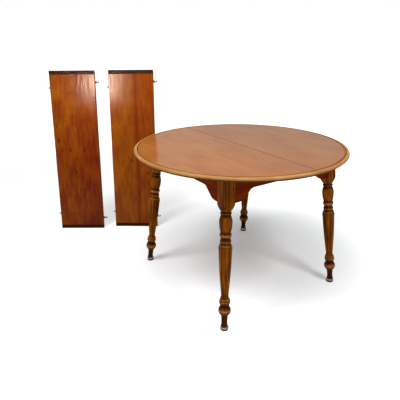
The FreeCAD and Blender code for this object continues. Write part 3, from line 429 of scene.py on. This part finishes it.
# maple mouldings, bent to the round, stained golden and lacquered: dark glaze in the incised line, where it
# also paints the line's shade, painted shade on the lower nose and in the cove under it, and the strip
# inside the line takes the veneer's colour
goldenMaple = dict(
    closeGrain, light="#E6B474", middle="#D29E5C", dark="#B48248", streak=(200.0, 6.0),
    lateWood="#B88A5A", ringStrength=0.4, fibre=(18.0, 0.9), roughness=0.40, coat=0.12,
    coatRoughness=0.16, glaze={"colour": "#401A04", "strength": 0.95, "wiped": "#A35C18"})
# the leaves' moulded ends: near black brown under the same lacquer, painted shade and painted dark
# reflection as seen on the ends
shadedEnd = dict(
    closeGrain, light="#4A2E1A", middle="#3A2212", dark="#2A170B", streak=(200.0, 6.0),
    lateWood="#B08A6A", ringStrength=0.4, fibre=(18.0, 0.9), roughness=0.55, coat=0.05,
    coatRoughness=0.3)
# planed beech for the hidden slides and blocks, bare: pale, matt, with short brown flecks
bareBeech = dict(
    closeGrain, light="#D8B98E", middle="#C9A678", dark="#B58F60", streak=(200.0, 4.0),
    lateWood="#D6B48E", ringStrength=0.35, fibre=(6.0, 0.9), roughness=0.62, coat=0.0,
    coatRoughness=0.16)

# what both birches share: long streaks, short fibres and satin lacquer
birch = {
    "streak": (260.0, 9.0), "taper": 0.014, "bend": (240.0, 45.0), "bendDepth": 10.0,
    "fibre": (16.0, 0.9), "fibreStrength": 0.4, "pore": "#7A4A24", "cloudStrength": 0.5,
    "cloudTint": "#A8683A", "grainDepth": 0.04, "film": (22.0, 22.0), "filmDepth": 0.006,
    "roughness": 0.27,
}
# birch turned from the square and stained brown: streaks down the post, and on the turning dark glaze in the
# hollows, which also paints their shade, and painted highlights on the high places and the bellies;
# fibreFlash is the share of the light that the fibres under the lacquer send back golden
turnedBirch = dict(
    birch, light="#B26A06", middle="#824802", dark="#4A2402", streakReach=0.17, lateWood="#8A5A34",
    ringStrength=0.6, ringSpacing=6.0, pith=(34.0, 22.0), cloud=(120.0, 60.0), coat=0.05,
    coatRoughness=0.28, fibreFlash=0.12,
    glaze={"colour": "#2A0D04", "strength": 0.85, "wiped": "#DCA06C"})
# birch boards for the aprons, stained darker and redder
apronBirch = dict(
    birch, light="#A64C04", middle="#923C02", dark="#742A01", streakReach=0.20, lateWood="#9A6048",
    ringStrength=0.35, ringSpacing=9.0, pith=(60.0, 80.0), cloud=(220.0, 110.0), coat=0.03,
    coatRoughness=0.26, fibreFlash=0.0)

# What the metals and the nylon share: the noises, the values of the patch noise where the surface
# is dull and bright, and by how much a dull patch is rougher.
metal = {
    "patchDetail": 4.0, "patchRoughness": 0.6, "gritDetail": 2.0, "dullAt": 0.35, "brightAt": 0.62,
    "roughSpan": (0.3, 0.7), "dullRougher": 0.12, "grimeShare": 0.9,
}


def metalMaterial(name, spec):
    material, tree = newMaterial(name)
    place = addNode(tree, "ShaderNodeTexCoord", out="Object")
    patches = addNode(tree, "ShaderNodeTexNoise", {
        "Vector": place, "Scale": 1000 / spec["patch"], "Detail": metal["patchDetail"],
        "Roughness": metal["patchRoughness"]})
    grit = addNode(tree, "ShaderNodeTexNoise", {
        "Vector": place, "Scale": 1000 / spec["grit"], "Detail": metal["gritDetail"]})
    colour = addNode(tree, "ShaderNodeValToRGB", {"Fac": patches}, stops=[
        (metal["dullAt"], linear(spec["dull"])), (metal["brightAt"], linear(spec["bright"]))])
    # painted shade near the floor: full at the first height and gone at the second
    if "grime" in spec:
        full, clear = (size / 1000 for size in spec["grimeHeight"])
        height = addNode(tree, "ShaderNodeSeparateXYZ", {"Vector": place}, out="Z")
        share = addNode(tree, "ShaderNodeMapRange", span(height, full, clear, metal["grimeShare"], 0.0))
        colour = addNode(tree, "ShaderNodeMix", {
            0: share, 6: colour, 7: linear(spec["grime"])}, **covered)
    rough = addNode(tree, "ShaderNodeMapRange", span(
        patches, *metal["roughSpan"], spec["rough"] + metal["dullRougher"], spec["rough"]))
    bump = addNode(tree, "ShaderNodeBump", {
        "Height": grit, "Strength": 1.0, "Distance": spec["gritDepth"] / 1000})
    shader = addNode(tree, "ShaderNodeBsdfPrincipled", {
        "Base Color": colour, "Metallic": spec["metallic"], "Roughness": rough, "Normal": bump})
    addNode(tree, "ShaderNodeOutputMaterial", {"Surface": shader})
    return material


# nickel plate on pressed steel glides, still bright at the lip, with painted shade blackening it where it
# meets the floor
nickelPlate = {"bright": "#A39C8B", "dull": "#524D44", "rough": 0.26, "metallic": 1.0, "patch": 9.0,
               "grit": 0.8, "gritDepth": 0.01, "grime": "#14110E", "grimeHeight": (11.5, 14.5)}
# zinc plate on screws, bolts and nuts: grey with cloudy patches
zincPlate = {"bright": "#B4B4AE", "dull": "#8A8A86", "rough": 0.34, "metallic": 1.0, "patch": 7.0,
             "grit": 0.6, "gritDepth": 0.01}
# hooks, studs and pins of pressed steel with a dark oxide: near black, worn brighter where they rub
darkSteel = {"bright": "#34302A", "dull": "#14120F", "rough": 0.38, "metallic": 1.0, "patch": 8.0,
             "grit": 0.7, "gritDepth": 0.012}
# natural nylon for the racks and pinions: off-white, waxy, moulded with a faint grain
nylon = {"bright": "#D9D2C0", "dull": "#C9C0AC", "rough": 0.42, "metallic": 0.0, "patch": 12.0,
         "grit": 0.9, "gritDepth": 0.01}


def alongAxis(axis):
    # Object coordinates from the table's centre, turned so that the grain, the pattern's X, runs
    # along the row's X or Y
    turn = {"x": 0.0, "y": math.pi / 2}[axis]
    return {"Location": tuple(size / 1000 for size in tableCentre), "Rotation": (0.0, 0.0, turn)}


def alongLeaf(name):
    # the same, with the grain up the leaning leaf
    origin, rise, left, front = leafAxes(name)
    turn = Matrix(np.stack([rise, left, front], 1).tolist()).to_euler()
    return {"Location": tuple(origin / 1000), "Rotation": tuple(turn)}


woods = {
    "topVeneer": woodMaterial("topVeneer", topVeneer, alongAxis("x")),
    "rim": woodMaterial("rimMaple", goldenMaple),
    "leg": woodMaterial("legBirch", turnedBirch),
    "apronX": woodMaterial("apronBirchLong", apronBirch, alongAxis("x")),
    "apronY": woodMaterial("apronBirchShort", apronBirch, alongAxis("y")),
    "slideY": woodMaterial("slideBeech", bareBeech, alongAxis("y")),
    "braceX": woodMaterial("braceBeech", bareBeech, alongAxis("x")),
    "leaf_1": woodMaterial("leafVeneerFirst", leafVeneer, alongLeaf("leaf_1")),
    "leaf_2": woodMaterial("leafVeneerSecond", leafVeneerPlain, alongLeaf("leaf_2")),
    "leafEnd": woodMaterial("leafEndMaple", shadedEnd),
}
metals = {
    "nickel": metalMaterial("nickelPlate", nickelPlate),
    "zinc": metalMaterial("zincPlate", zincPlate),
    "darkSteel": metalMaterial("darkSteel", darkSteel),
    "nylon": metalMaterial("naturalNylon", nylon),
}
print("materials made:", len(woods) + len(metals))


# The moulded rim. Of a pair for the glaze and the painted shade, the first value is where it begins and the
# second where it is full: Below, Above are heights from the underside, In runs from the edge, Fade from the
# line.
rim = {
    "width": 26.0, "grooveFromEdge": 17.6, "grooveWidth": 3.6, "grooveDepth": 1.8,
    "grooveDraft": 0.2,  # how far each wall of the incised line leans in
    "grooveEase": 0.35,  # a sanded arris on both sides of the line
    "seamBevel": 1.41, "step": 0.7,
    # sections: three close to each end of the half circle, and evenly spaced ones between
    "endShares": (0.0, 0.0005, 0.0012), "middleShares": (0.003, 0.997), "columns": 260,
    "nextLength": 2400.0,  # half B's moulding is cut this much further along the wood
    # the incised line's glaze also paints its shade; the nose's and the cove's shares are painted shade
    "grooveGlaze": 0.66, "grooveFade": 1.6, "grooveAbove": (12.0, 17.0),
    "coveGlaze": 0.9, "coveBelow": (9.5, 5.0), "noseShade": 0.28, "noseBelow": (18.0, 9.5),
    "noseIn": (12.0, 7.0), "stripFade": (0.6, 1.4), "stripAbove": 15.0,
}


def rimProfile():
    # counter-clockwise from the inner lower edge: cove, nose, quarter round, flat, incised line and
    # the flat strip that meets the veneer
    outer, top, low = standing["topRadius"], standing["tableHeight"], underZ
    inner, nose = outer - rim["width"], standing["noseRadius"]
    cove = standing["topThickness"] - nose - standing["noseFlat"]
    quarter = 1 - math.sqrt(0.5)  # the swell of a quarter circle, as a share of its radius
    middle, half, depth = outer - rim["grooveFromEdge"], rim["grooveWidth"] / 2, top - rim["grooveDepth"]
    ease, draft = rim["grooveEase"], rim["grooveDraft"]
    corners = [(inner, low), (outer - cove, low), (outer, low + cove, -cove * quarter),
               (outer, top - nose), (outer - nose, top, nose * quarter), (middle + half + ease, top),
               (middle + half, top - ease, ease * quarter), (middle + half - draft, depth),
               (middle - half + draft, depth), (middle - half, top - ease),
               (middle - half - ease, top, ease * quarter), (inner, top), (inner, low)]
    return traceProfile(corners, rim["step"])[:-1]


def profileGlazeAndShade(profile):
    # 0 on the flat and the crown; dark glaze in the incised line, which also paints its shade, and painted
    # shade on the lower nose and in the cove; and -1 on the strip inside the line, which takes the veneer's
    # colour
    inward, up = standing["topRadius"] - profile[:, 0], profile[:, 1] - underZ
    half = rim["grooveWidth"] / 2
    line = smoothStep(half + rim["grooveFade"], half, np.abs(inward - rim["grooveFromEdge"]))
    line = line * smoothStep(*rim["grooveAbove"], up)
    strip = smoothStep(*rim["stripFade"], inward - rim["grooveFromEdge"] - half)
    edge = smoothStep(*rim["noseIn"], inward)
    nose = smoothStep(*rim["noseBelow"], up) * edge
    cove = smoothStep(*rim["coveBelow"], up) * edge
    dark = line * rim["grooveGlaze"] + nose * rim["noseShade"] + cove * (rim["coveGlaze"] - rim["noseShade"])
    return np.clip(dark - strip * (up > rim["stripAbove"]), -1, 1)


# Profile point (radius, height) at share u of the half circle stands at the angle
# -pi + d + u * (pi - 2 * d), with d = asin(gap / radius), so both ends lie in the seam's plane. The
# top is cut down there by the bevel, less the distance from the end.
def makeRim(half):
    profile = rimProfile()
    radius, height = profile[:, 0], profile[:, 1]
    ends = np.array(rim["endShares"])
    share = np.concatenate([ends, np.linspace(*rim["middleShares"], rim["columns"]), 1 - ends[::-1]])
    inset = np.arcsin(standing["halfGap"] / radius)
    angle = -math.pi + inset[None] + share[:, None] * (math.pi - 2 * inset[None])
    x, y = radius * np.cos(angle), radius * np.sin(angle)
    cut = np.maximum(rim["seamBevel"] - (np.abs(y) - standing["halfGap"]), 0)
    z = np.minimum(height[None], standing["tableHeight"] - cut)
    along = angle * standing["topRadius"] + rim["nextLength"] * (half == "b")
    place = np.stack([along, np.broadcast_to(radius, x.shape), z], -1)
    glaze = np.broadcast_to(profileGlazeAndShade(profile), x.shape)
    piece = gridMesh("rimMoulding_" + half, halfTurn(np.stack([x, y, z], -1), half), place, glaze)
    dress(piece, woods["rim"], "half_" + half, "rim_wood", "rim_moulding_" + half)


for half in "ab":
    makeRim(half)
print("rim mouldings made")


# The turned legs. The overhang is how far a leg's axis stands inside the top's radius along X and Y
# at the collar, and the splay is how far its foot runs out from there.
leg = {
    "overhang": (211.4, 214.4), "collarHeight": 553.0, "splayRun": (58.0, 41.0),
    "postSide": 57.0, "postRound": 4.0, "arrisBlend": 1.6, "footHeight": 20.0,
    "around": 144, "step": 2.2,
    "nextLeg": (1700.0, 130.0, 70.0),  # how far apart the legs lie in the wood
    # glaze left in the hollows, which also paints their shade, and painted highlights on the crests: the
    # window's reach, the full depth and the share; the blur is a share of the reach, and the crests' painted
    # highlights show below a height, where the glaze is thin
    "hollows": [(10.0, 4.5, 1.0), (26.0, 14.0, 0.55)], "crest": (6.0, 2.2), "blur": 0.16,
    "crestBelow": 560.0, "crestUnder": 0.15,
    # darker towards the foot (share, full below, none above), and painted highlight rings (height, half
    # width, share)
    "lowGlaze": [(0.34, 150.0, 176.0), (0.26, 76.0, 90.0)],
    "brightRings": [(157.0, 1.2, 1.2), (146.0, 1.2, 1.2), (105.0, 9.0, 0.60)],
    # (diameter, height) or (diameter, height, swell), from the foot up
    "turning": [
        (33.5, 12.0), (32.0, 22.0), (28.5, 40.0, -0.6), (30.0, 60.0, -0.7), (36.5, 79.0, -1.2),
        (45.0, 118.0, 8.3), (37.0, 122.0, -0.8), (38.5, 126.0), (41.5, 160.0, 5.0),
        (34.5, 182.0, -1.6), (59.5, 391.0, 1.8), (48.5, 420.0, 3.2), (44.6, 423.5), (44.6, 441.0, 2.4),
        (44.0, 449.0, -1.2), (46.5, 470.0, 3.6), (46.0, 475.0, -0.7), (57.4, 511.0, 1.0),
        (44.6, 549.0, 2.6), (42.0, 553.0, -0.4), (43.8, 564.5, 3.6), (45.0, 568.5, -0.6),
        (89.0, 614.0, 2.2), (89.0, 716.0), (89.0, 738.0)],
}


# How deep each point of a profile lies below its neighbours: the outline is first filled over a window along
# its height (largest, then smallest, within reach), and the result is that fill less the profile, as a share
# of a full depth, blurred. The mirrored outline gives the crests, which take painted highlights.
def hollowShare(out, up, reach, depth):
    apart = up[:, None] - up[None]
    near = np.abs(apart) < reach
    largest = np.where(near, out[None], -np.inf).max(1)
    filled = np.where(near, largest[None], np.inf).min(1)
    raw = np.clip((filled - out) / depth, 0, 1)
    weight = np.exp(-(apart / (reach * leg["blur"])) ** 2)
    return (weight * raw[None]).sum(1) / weight.sum(1)


# The glaze and painted light down a leg: the hollows' glaze and painted shade, less the crests' painted
# highlights where that is thin, then the darkening towards the foot, less each painted highlight ring's
# share * exp(-(distance / half width) ** 2).
def legGlazeAndPaintedLight(lathe, up):
    glaze = sum(share * hollowShare(lathe, up, reach, depth) for reach, depth, share in leg["hollows"])
    crest = hollowShare(-lathe, up, *leg["crest"]) * (up < leg["crestBelow"])
    glaze = np.clip(glaze - np.where(glaze < leg["crestUnder"], crest, 0), -1, 1)
    for share, full, clear in leg["lowGlaze"]:
        glaze = glaze + share * smoothStep(clear, full, up)
    for height, halfWidth, share in leg["brightRings"]:
        glaze = glaze - share * np.exp(-((up - height) / halfWidth) ** 2)
    return np.clip(glaze, -1, 1)


def postRadius(angle):
    # distance from the axis to a square with rounded corners, along a ray at the angle: half the
    # side over the larger of |cos| and |sin|, or in a corner the far root of the circle's quadratic
    half, corner = leg["postSide"] / 2, leg["postRound"]
    large = np.maximum(np.abs(np.cos(angle)), np.abs(np.sin(angle)))
    small = np.minimum(np.abs(np.cos(angle)), np.abs(np.sin(angle)))
    core = half - corner
    flat = half / large
    under = np.maximum(core ** 2 * (large + small) ** 2 - 2 * core ** 2 + corner ** 2, 0)
    return np.where(flat * small <= core, flat, core * (large + small) + np.sqrt(under))


def softMin(first, second, width):
    # the smaller of two, rounded over where they are within a width of each other
    share = np.clip(0.5 + 0.5 * (second - first) / width, 0, 1)
    return second * (1 - share) + first * share - width * share * (1 - share)


def legFrame(side):
    # foot point and axes of half A's leg; side is -1 or 1 along X, and the axes are the row's,
    # turned the short way so that Z runs along the leaning leg
    foot = [standing["topRadius"] - over + run for over, run in zip(leg["overhang"], leg["splayRun"])]
    lean = Vector((-side * leg["splayRun"][0], leg["splayRun"][1], leg["collarHeight"]))
    turn = np.array(Vector((0, 0, 1)).rotation_difference(lean).to_matrix())
    return np.array([side * foot[0], -foot[1], 0.0]), turn


# At angle a and height t the leg's radius is the smaller of the lathe's and the square post's. Both
# ends are sawn level: points past the saw cut slide back along the leg's axis.
def makeLeg(half, side):
    profile = traceProfile([(size / 2, *rest) for size, *rest in leg["turning"]], leg["step"])
    lathe, up = profile[:, 0], profile[:, 1]
    angle = np.linspace(0, 2 * math.pi, leg["around"], endpoint=False) + math.pi / leg["around"]
    radius = softMin(lathe[:, None], postRadius(angle)[None], leg["arrisBlend"])
    local = np.stack([radius * np.cos(angle), radius * np.sin(angle), up[:, None] + 0 * radius], -1)
    foot, turn = legFrame(side)
    points = foot + local @ turn.T
    past = np.clip(points[..., 2], leg["footHeight"], underZ) - points[..., 2]
    points = points + past[..., None] * turn[:, 2] / turn[2, 2]
    number = (half == "b") * 2 + (side > 0)
    place = local[..., [2, 0, 1]] + np.array(leg["nextLeg"]) * (number + 1)
    glaze = np.broadcast_to(legGlazeAndPaintedLight(lathe, up)[:, None], radius.shape)
    name = half + "_" + handOf(half, side)
    piece = gridMesh("legTurning_" + name, halfTurn(points, half), place, glaze)
    dress(piece, woods["leg"], "half_" + half, "leg_wood", "leg_" + name)


for half in "ab":
    for side in (-1, 1):
        makeLeg(half, side)
print("legs turned")


# The glides, cups under the feet; (radius, height) or (radius, height, swell).
glide = {
    "around": 64, "step": 0.5,
    "cup": [(0.4, 0.0), (14.2, 0.0), (15.0, 0.4, 0.1), (19.2, 6.0, 1.0), (17.0, 19.8, 0.8),
            (0.4, 19.8)],
}


def makeGlides(half):
    # a lathe: the profile (radius, height) goes round once, about each foot's middle
    profile = traceProfile(glide["cup"], glide["step"])
    angle = np.linspace(0, 2 * math.pi, glide["around"], endpoint=False)
    cup = np.stack([profile[:, :1] * np.cos(angle), profile[:, :1] * np.sin(angle),
                    profile[:, 1:] + 0 * angle], -1)
    for side in (-1, 1):
        foot, turn = legFrame(side)
        centre = foot + turn[:, 2] * leg["footHeight"] / turn[2, 2]
        centre[2] = 0.0
        points = halfTurn(cup + centre, half)
        name = "glide_" + half + "_" + handOf(half, side)
        piece = gridMesh(name, points, points, np.zeros(cup.shape[:2]))
        dress(piece, metals["nickel"], "half_" + half, "glide_nickel", "glides_" + half)


for half in "ab":
    makeGlides(half)
print("glides made")


# The leaves' moulded ends: sections close together at both edges and evenly spaced between, and
# where each end's stretch of wood lies, with the second leaf's further along.
leafEnd = {
    "endShares": (0.0, 0.004), "middleShares": (0.02, 0.98), "columns": 40,
    "grainPlace": 900.0, "nextLeaf": 500.0,
}


# The rim's profile, straight: carried along the leaf's width, with the same bevel at both edges.
def makeLeafEnd(name, way):
    profile = rimProfile()
    out, down = profile[:, 0], profile[:, 1] - standing["tableHeight"]
    half = standing["leafWidth"] / 2
    ends = np.array(leafEnd["endShares"])
    middle = np.linspace(*leafEnd["middleShares"], leafEnd["columns"])
    across = (np.concatenate([ends, middle, 1 - ends[::-1]])[:, None] * 2 - 1) * half
    cut = np.maximum(rim["seamBevel"] - (half - np.abs(across)), 0)
    z = np.minimum(down[None], -cut)
    local = np.stack([out * way + 0 * z, across * way + 0 * z, z], -1)
    start = leafEnd["grainPlace"] * way + leafEnd["nextLeaf"] * (name == "leaf_2")
    place = local[..., [1, 0, 2]] + np.array([start, 0.0, 0.0])
    origin, rise, left, front = leafAxes(name)
    points = origin + local @ np.stack([rise, left, front])
    label = name.replace("_", "") + ("EndUpper" if way > 0 else "EndLower")
    piece = gridMesh(label, points, place, np.zeros(z.shape))
    dress(piece, woods["leafEnd"], name, "leaf_end_wood", name + "_end_mouldings")


for name in standing["leaves"]:
    for way in (-1, 1):
        makeLeafEnd(name, way)
print("leaf ends made")


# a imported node's finish is the first one here with a word that stands in the node's name
finishes = [
    (woods["topVeneer"], ["top_field"]),
    (woods["apronX"], ["long_apron"]),
    (woods["apronY"], ["short_apron"]),
    (woods["leaf_1"], ["leaf_1_panel"]),
    (woods["leaf_2"], ["leaf_2_panel"]),
    (woods["slideY"], ["slide_rail", "middle_rail"]),
    (woods["braceX"], ["slide_braces", "corner_blocks"]),
    (metals["nylon"], ["rack", "pinion_left", "pinion_right"]),
    (metals["darkSteel"], ["hook", "studs", "pins"]),
    (metals["zinc"], [""]),
]
for name, item in nodes.items():
    finish = next(material for material, words in finishes if any(word in name for word in words))
    item.data.materials.clear()
    item.data.materials.append(finish)
print("packed nodes finished")


# The stage, in metres, watts and degrees; places are from the table's middle.
stage = {
    "floorSize": 60.0, "floorColour": "#F3F7FA", "worldFill": 0.26,
    # discs that keep their shadow: x, y, the inner and outer edge between which the view turns plain
    # white, and the white added inside
    "shadowDiscs": [(-0.18, 0.21, 0.35, 1.26, 0.21), (-2.00, -0.27, 0.88, 1.47, 0.54)],
    "lamps": {
        "softboxLeft": {"place": (-0.26, -2.00, 3.20), "target": (0.0, 0.0, 0.4), "size": (1.1, 1.1),
                        "spread": 180.0, "power": 61.0, "colour": "#FFFFFF"},
        "softboxRight": {"place": (2.15, 0.28, 3.20), "target": (0.0, 0.0, 0.4), "size": (0.9, 0.9),
                         "spread": 180.0, "power": 52.5, "colour": "#FFFFFF"},
        "stripByCamera": {"place": (0.92, -2.55, 1.62), "target": (-1.10, -0.40, 1.07),
                          "size": (0.26, 0.46), "spread": 23.0, "power": 1.5, "colour": "#FFEFD8"},
    },
}


def makeFloor():
    half = stage["floorSize"] / 2
    mesh = bpy.data.meshes.new("floor")
    mesh.from_pydata([(-half, -half, 0), (half, -half, 0), (half, half, 0), (-half, half, 0)], [],
                     [(0, 1, 2, 3)])
    floor = bpy.data.objects.new("floor", mesh)
    bpy.context.scene.collection.objects.link(floor)
    material, tree = newMaterial("paperFloor")
    paper = addNode(tree, "ShaderNodeBsdfDiffuse", {"Color": linear(stage["floorColour"])})
    ray = addNode(tree, "ShaderNodeLightPath").node.outputs
    seen = addNode(tree, "ShaderNodeMath", {0: ray["Is Camera Ray"], 1: ray["Is Glossy Ray"]},
                   operation="MAXIMUM")
    place = addNode(tree, "ShaderNodeTexCoord", out="Object")
    white = 1.0
    for x, y, inner, outer, glow in stage["shadowDiscs"]:
        centre = (x + standing["tableMiddle"][0] / 1000, y + standing["tableMiddle"][1] / 1000, 0.0)
        away = addNode(tree, "ShaderNodeVectorMath", {0: place, 1: centre}, out="Value",
                       operation="DISTANCE")
        outside = addNode(tree, "ShaderNodeMapRange", span(away, inner, outer, glow, 1.0),
                          interpolation_type="SMOOTHSTEP")
        white = addNode(tree, "ShaderNodeMath", {0: white, 1: outside}, operation="MINIMUM")
    shown = addNode(tree, "ShaderNodeMath", {0: seen, 1: white}, operation="MULTIPLY")
    shine = addNode(tree, "ShaderNodeEmission", {"Color": linear("#FFFFFF"), "Strength": shown})
    both = addNode(tree, "ShaderNodeAddShader", {0: paper, 1: shine})
    addNode(tree, "ShaderNodeOutputMaterial", {"Surface": both})
    mesh.materials.append(material)


def makeWorld():
    # plain white to the camera and in reflections, and a dimmer fill for the light it gives
    world = bpy.data.worlds.new("whiteStudio")
    bpy.context.scene.world = world
    world.use_nodes = True
    tree = world.node_tree
    tree.nodes.clear()
    ray = addNode(tree, "ShaderNodeLightPath").node.outputs
    seen = ray["Is Camera Ray"]
    for kind in ("Is Glossy Ray", "Is Transmission Ray"):
        seen = addNode(tree, "ShaderNodeMath", {0: seen, 1: ray[kind]}, operation="MAXIMUM")
    strength = addNode(tree, "ShaderNodeMapRange", span(seen, 0.0, 1.0, stage["worldFill"], 1.0))
    sky = addNode(tree, "ShaderNodeBackground", {"Color": linear("#FFFFFF"), "Strength": strength})
    addNode(tree, "ShaderNodeOutputWorld", {"Surface": sky})


def makeLamps():
    middle = Vector((*standing["tableMiddle"], 0.0)) / 1000
    for name, spec in stage["lamps"].items():
        lamp = bpy.data.lights.new(name, "AREA")
        lamp.shape, lamp.energy = "RECTANGLE", spec["power"]
        lamp.size, lamp.size_y = spec["size"]
        lamp.spread = math.radians(spec["spread"])
        lamp.color = linear(spec["colour"])[:3]
        holder = bpy.data.objects.new(name, lamp)
        holder.location = middle + Vector(spec["place"])
        aim = middle + Vector(spec["target"]) - holder.location
        holder.rotation_euler = aim.to_track_quat("-Z", "Y").to_euler()
        bpy.context.scene.collection.objects.link(holder)


view = {
    "place": (1.9372, -1.1819, 1.2465),   # metres
    "yaw": -57.147, "pitch": 22.009, "roll": -0.431,
    "focal": 401.4, "frameWidth": 400.0,  # in the frame's own units, so the lens is their ratio
    "sensor": 36.0,
}


def makeCamera():
    # forward is (sin yaw cos pitch, cos yaw cos pitch, -sin pitch), and right and up roll about it
    yaw, pitch, roll = (math.radians(view[key]) for key in ("yaw", "pitch", "roll"))
    forward = Vector((math.sin(yaw) * math.cos(pitch), math.cos(yaw) * math.cos(pitch), -math.sin(pitch)))
    level = Vector((math.cos(yaw), -math.sin(yaw), 0.0))
    above = level.cross(forward)
    right = level * math.cos(roll) + above * math.sin(roll)
    up = above * math.cos(roll) - level * math.sin(roll)
    lens = bpy.data.cameras.new("camera")
    lens.sensor_width = view["sensor"]
    lens.lens = view["focal"] / view["frameWidth"] * view["sensor"]
    camera = bpy.data.objects.new("camera", lens)
    turn = Matrix((right, up, -forward)).transposed().to_4x4()
    camera.matrix_world = Matrix.Translation(Vector(view["place"])) @ turn
    bpy.context.scene.collection.objects.link(camera)
    bpy.context.scene.camera = camera


makeFloor()
makeWorld()
makeLamps()
makeCamera()
bpy.context.scene.view_settings.view_transform = "Standard"
print("stage set")
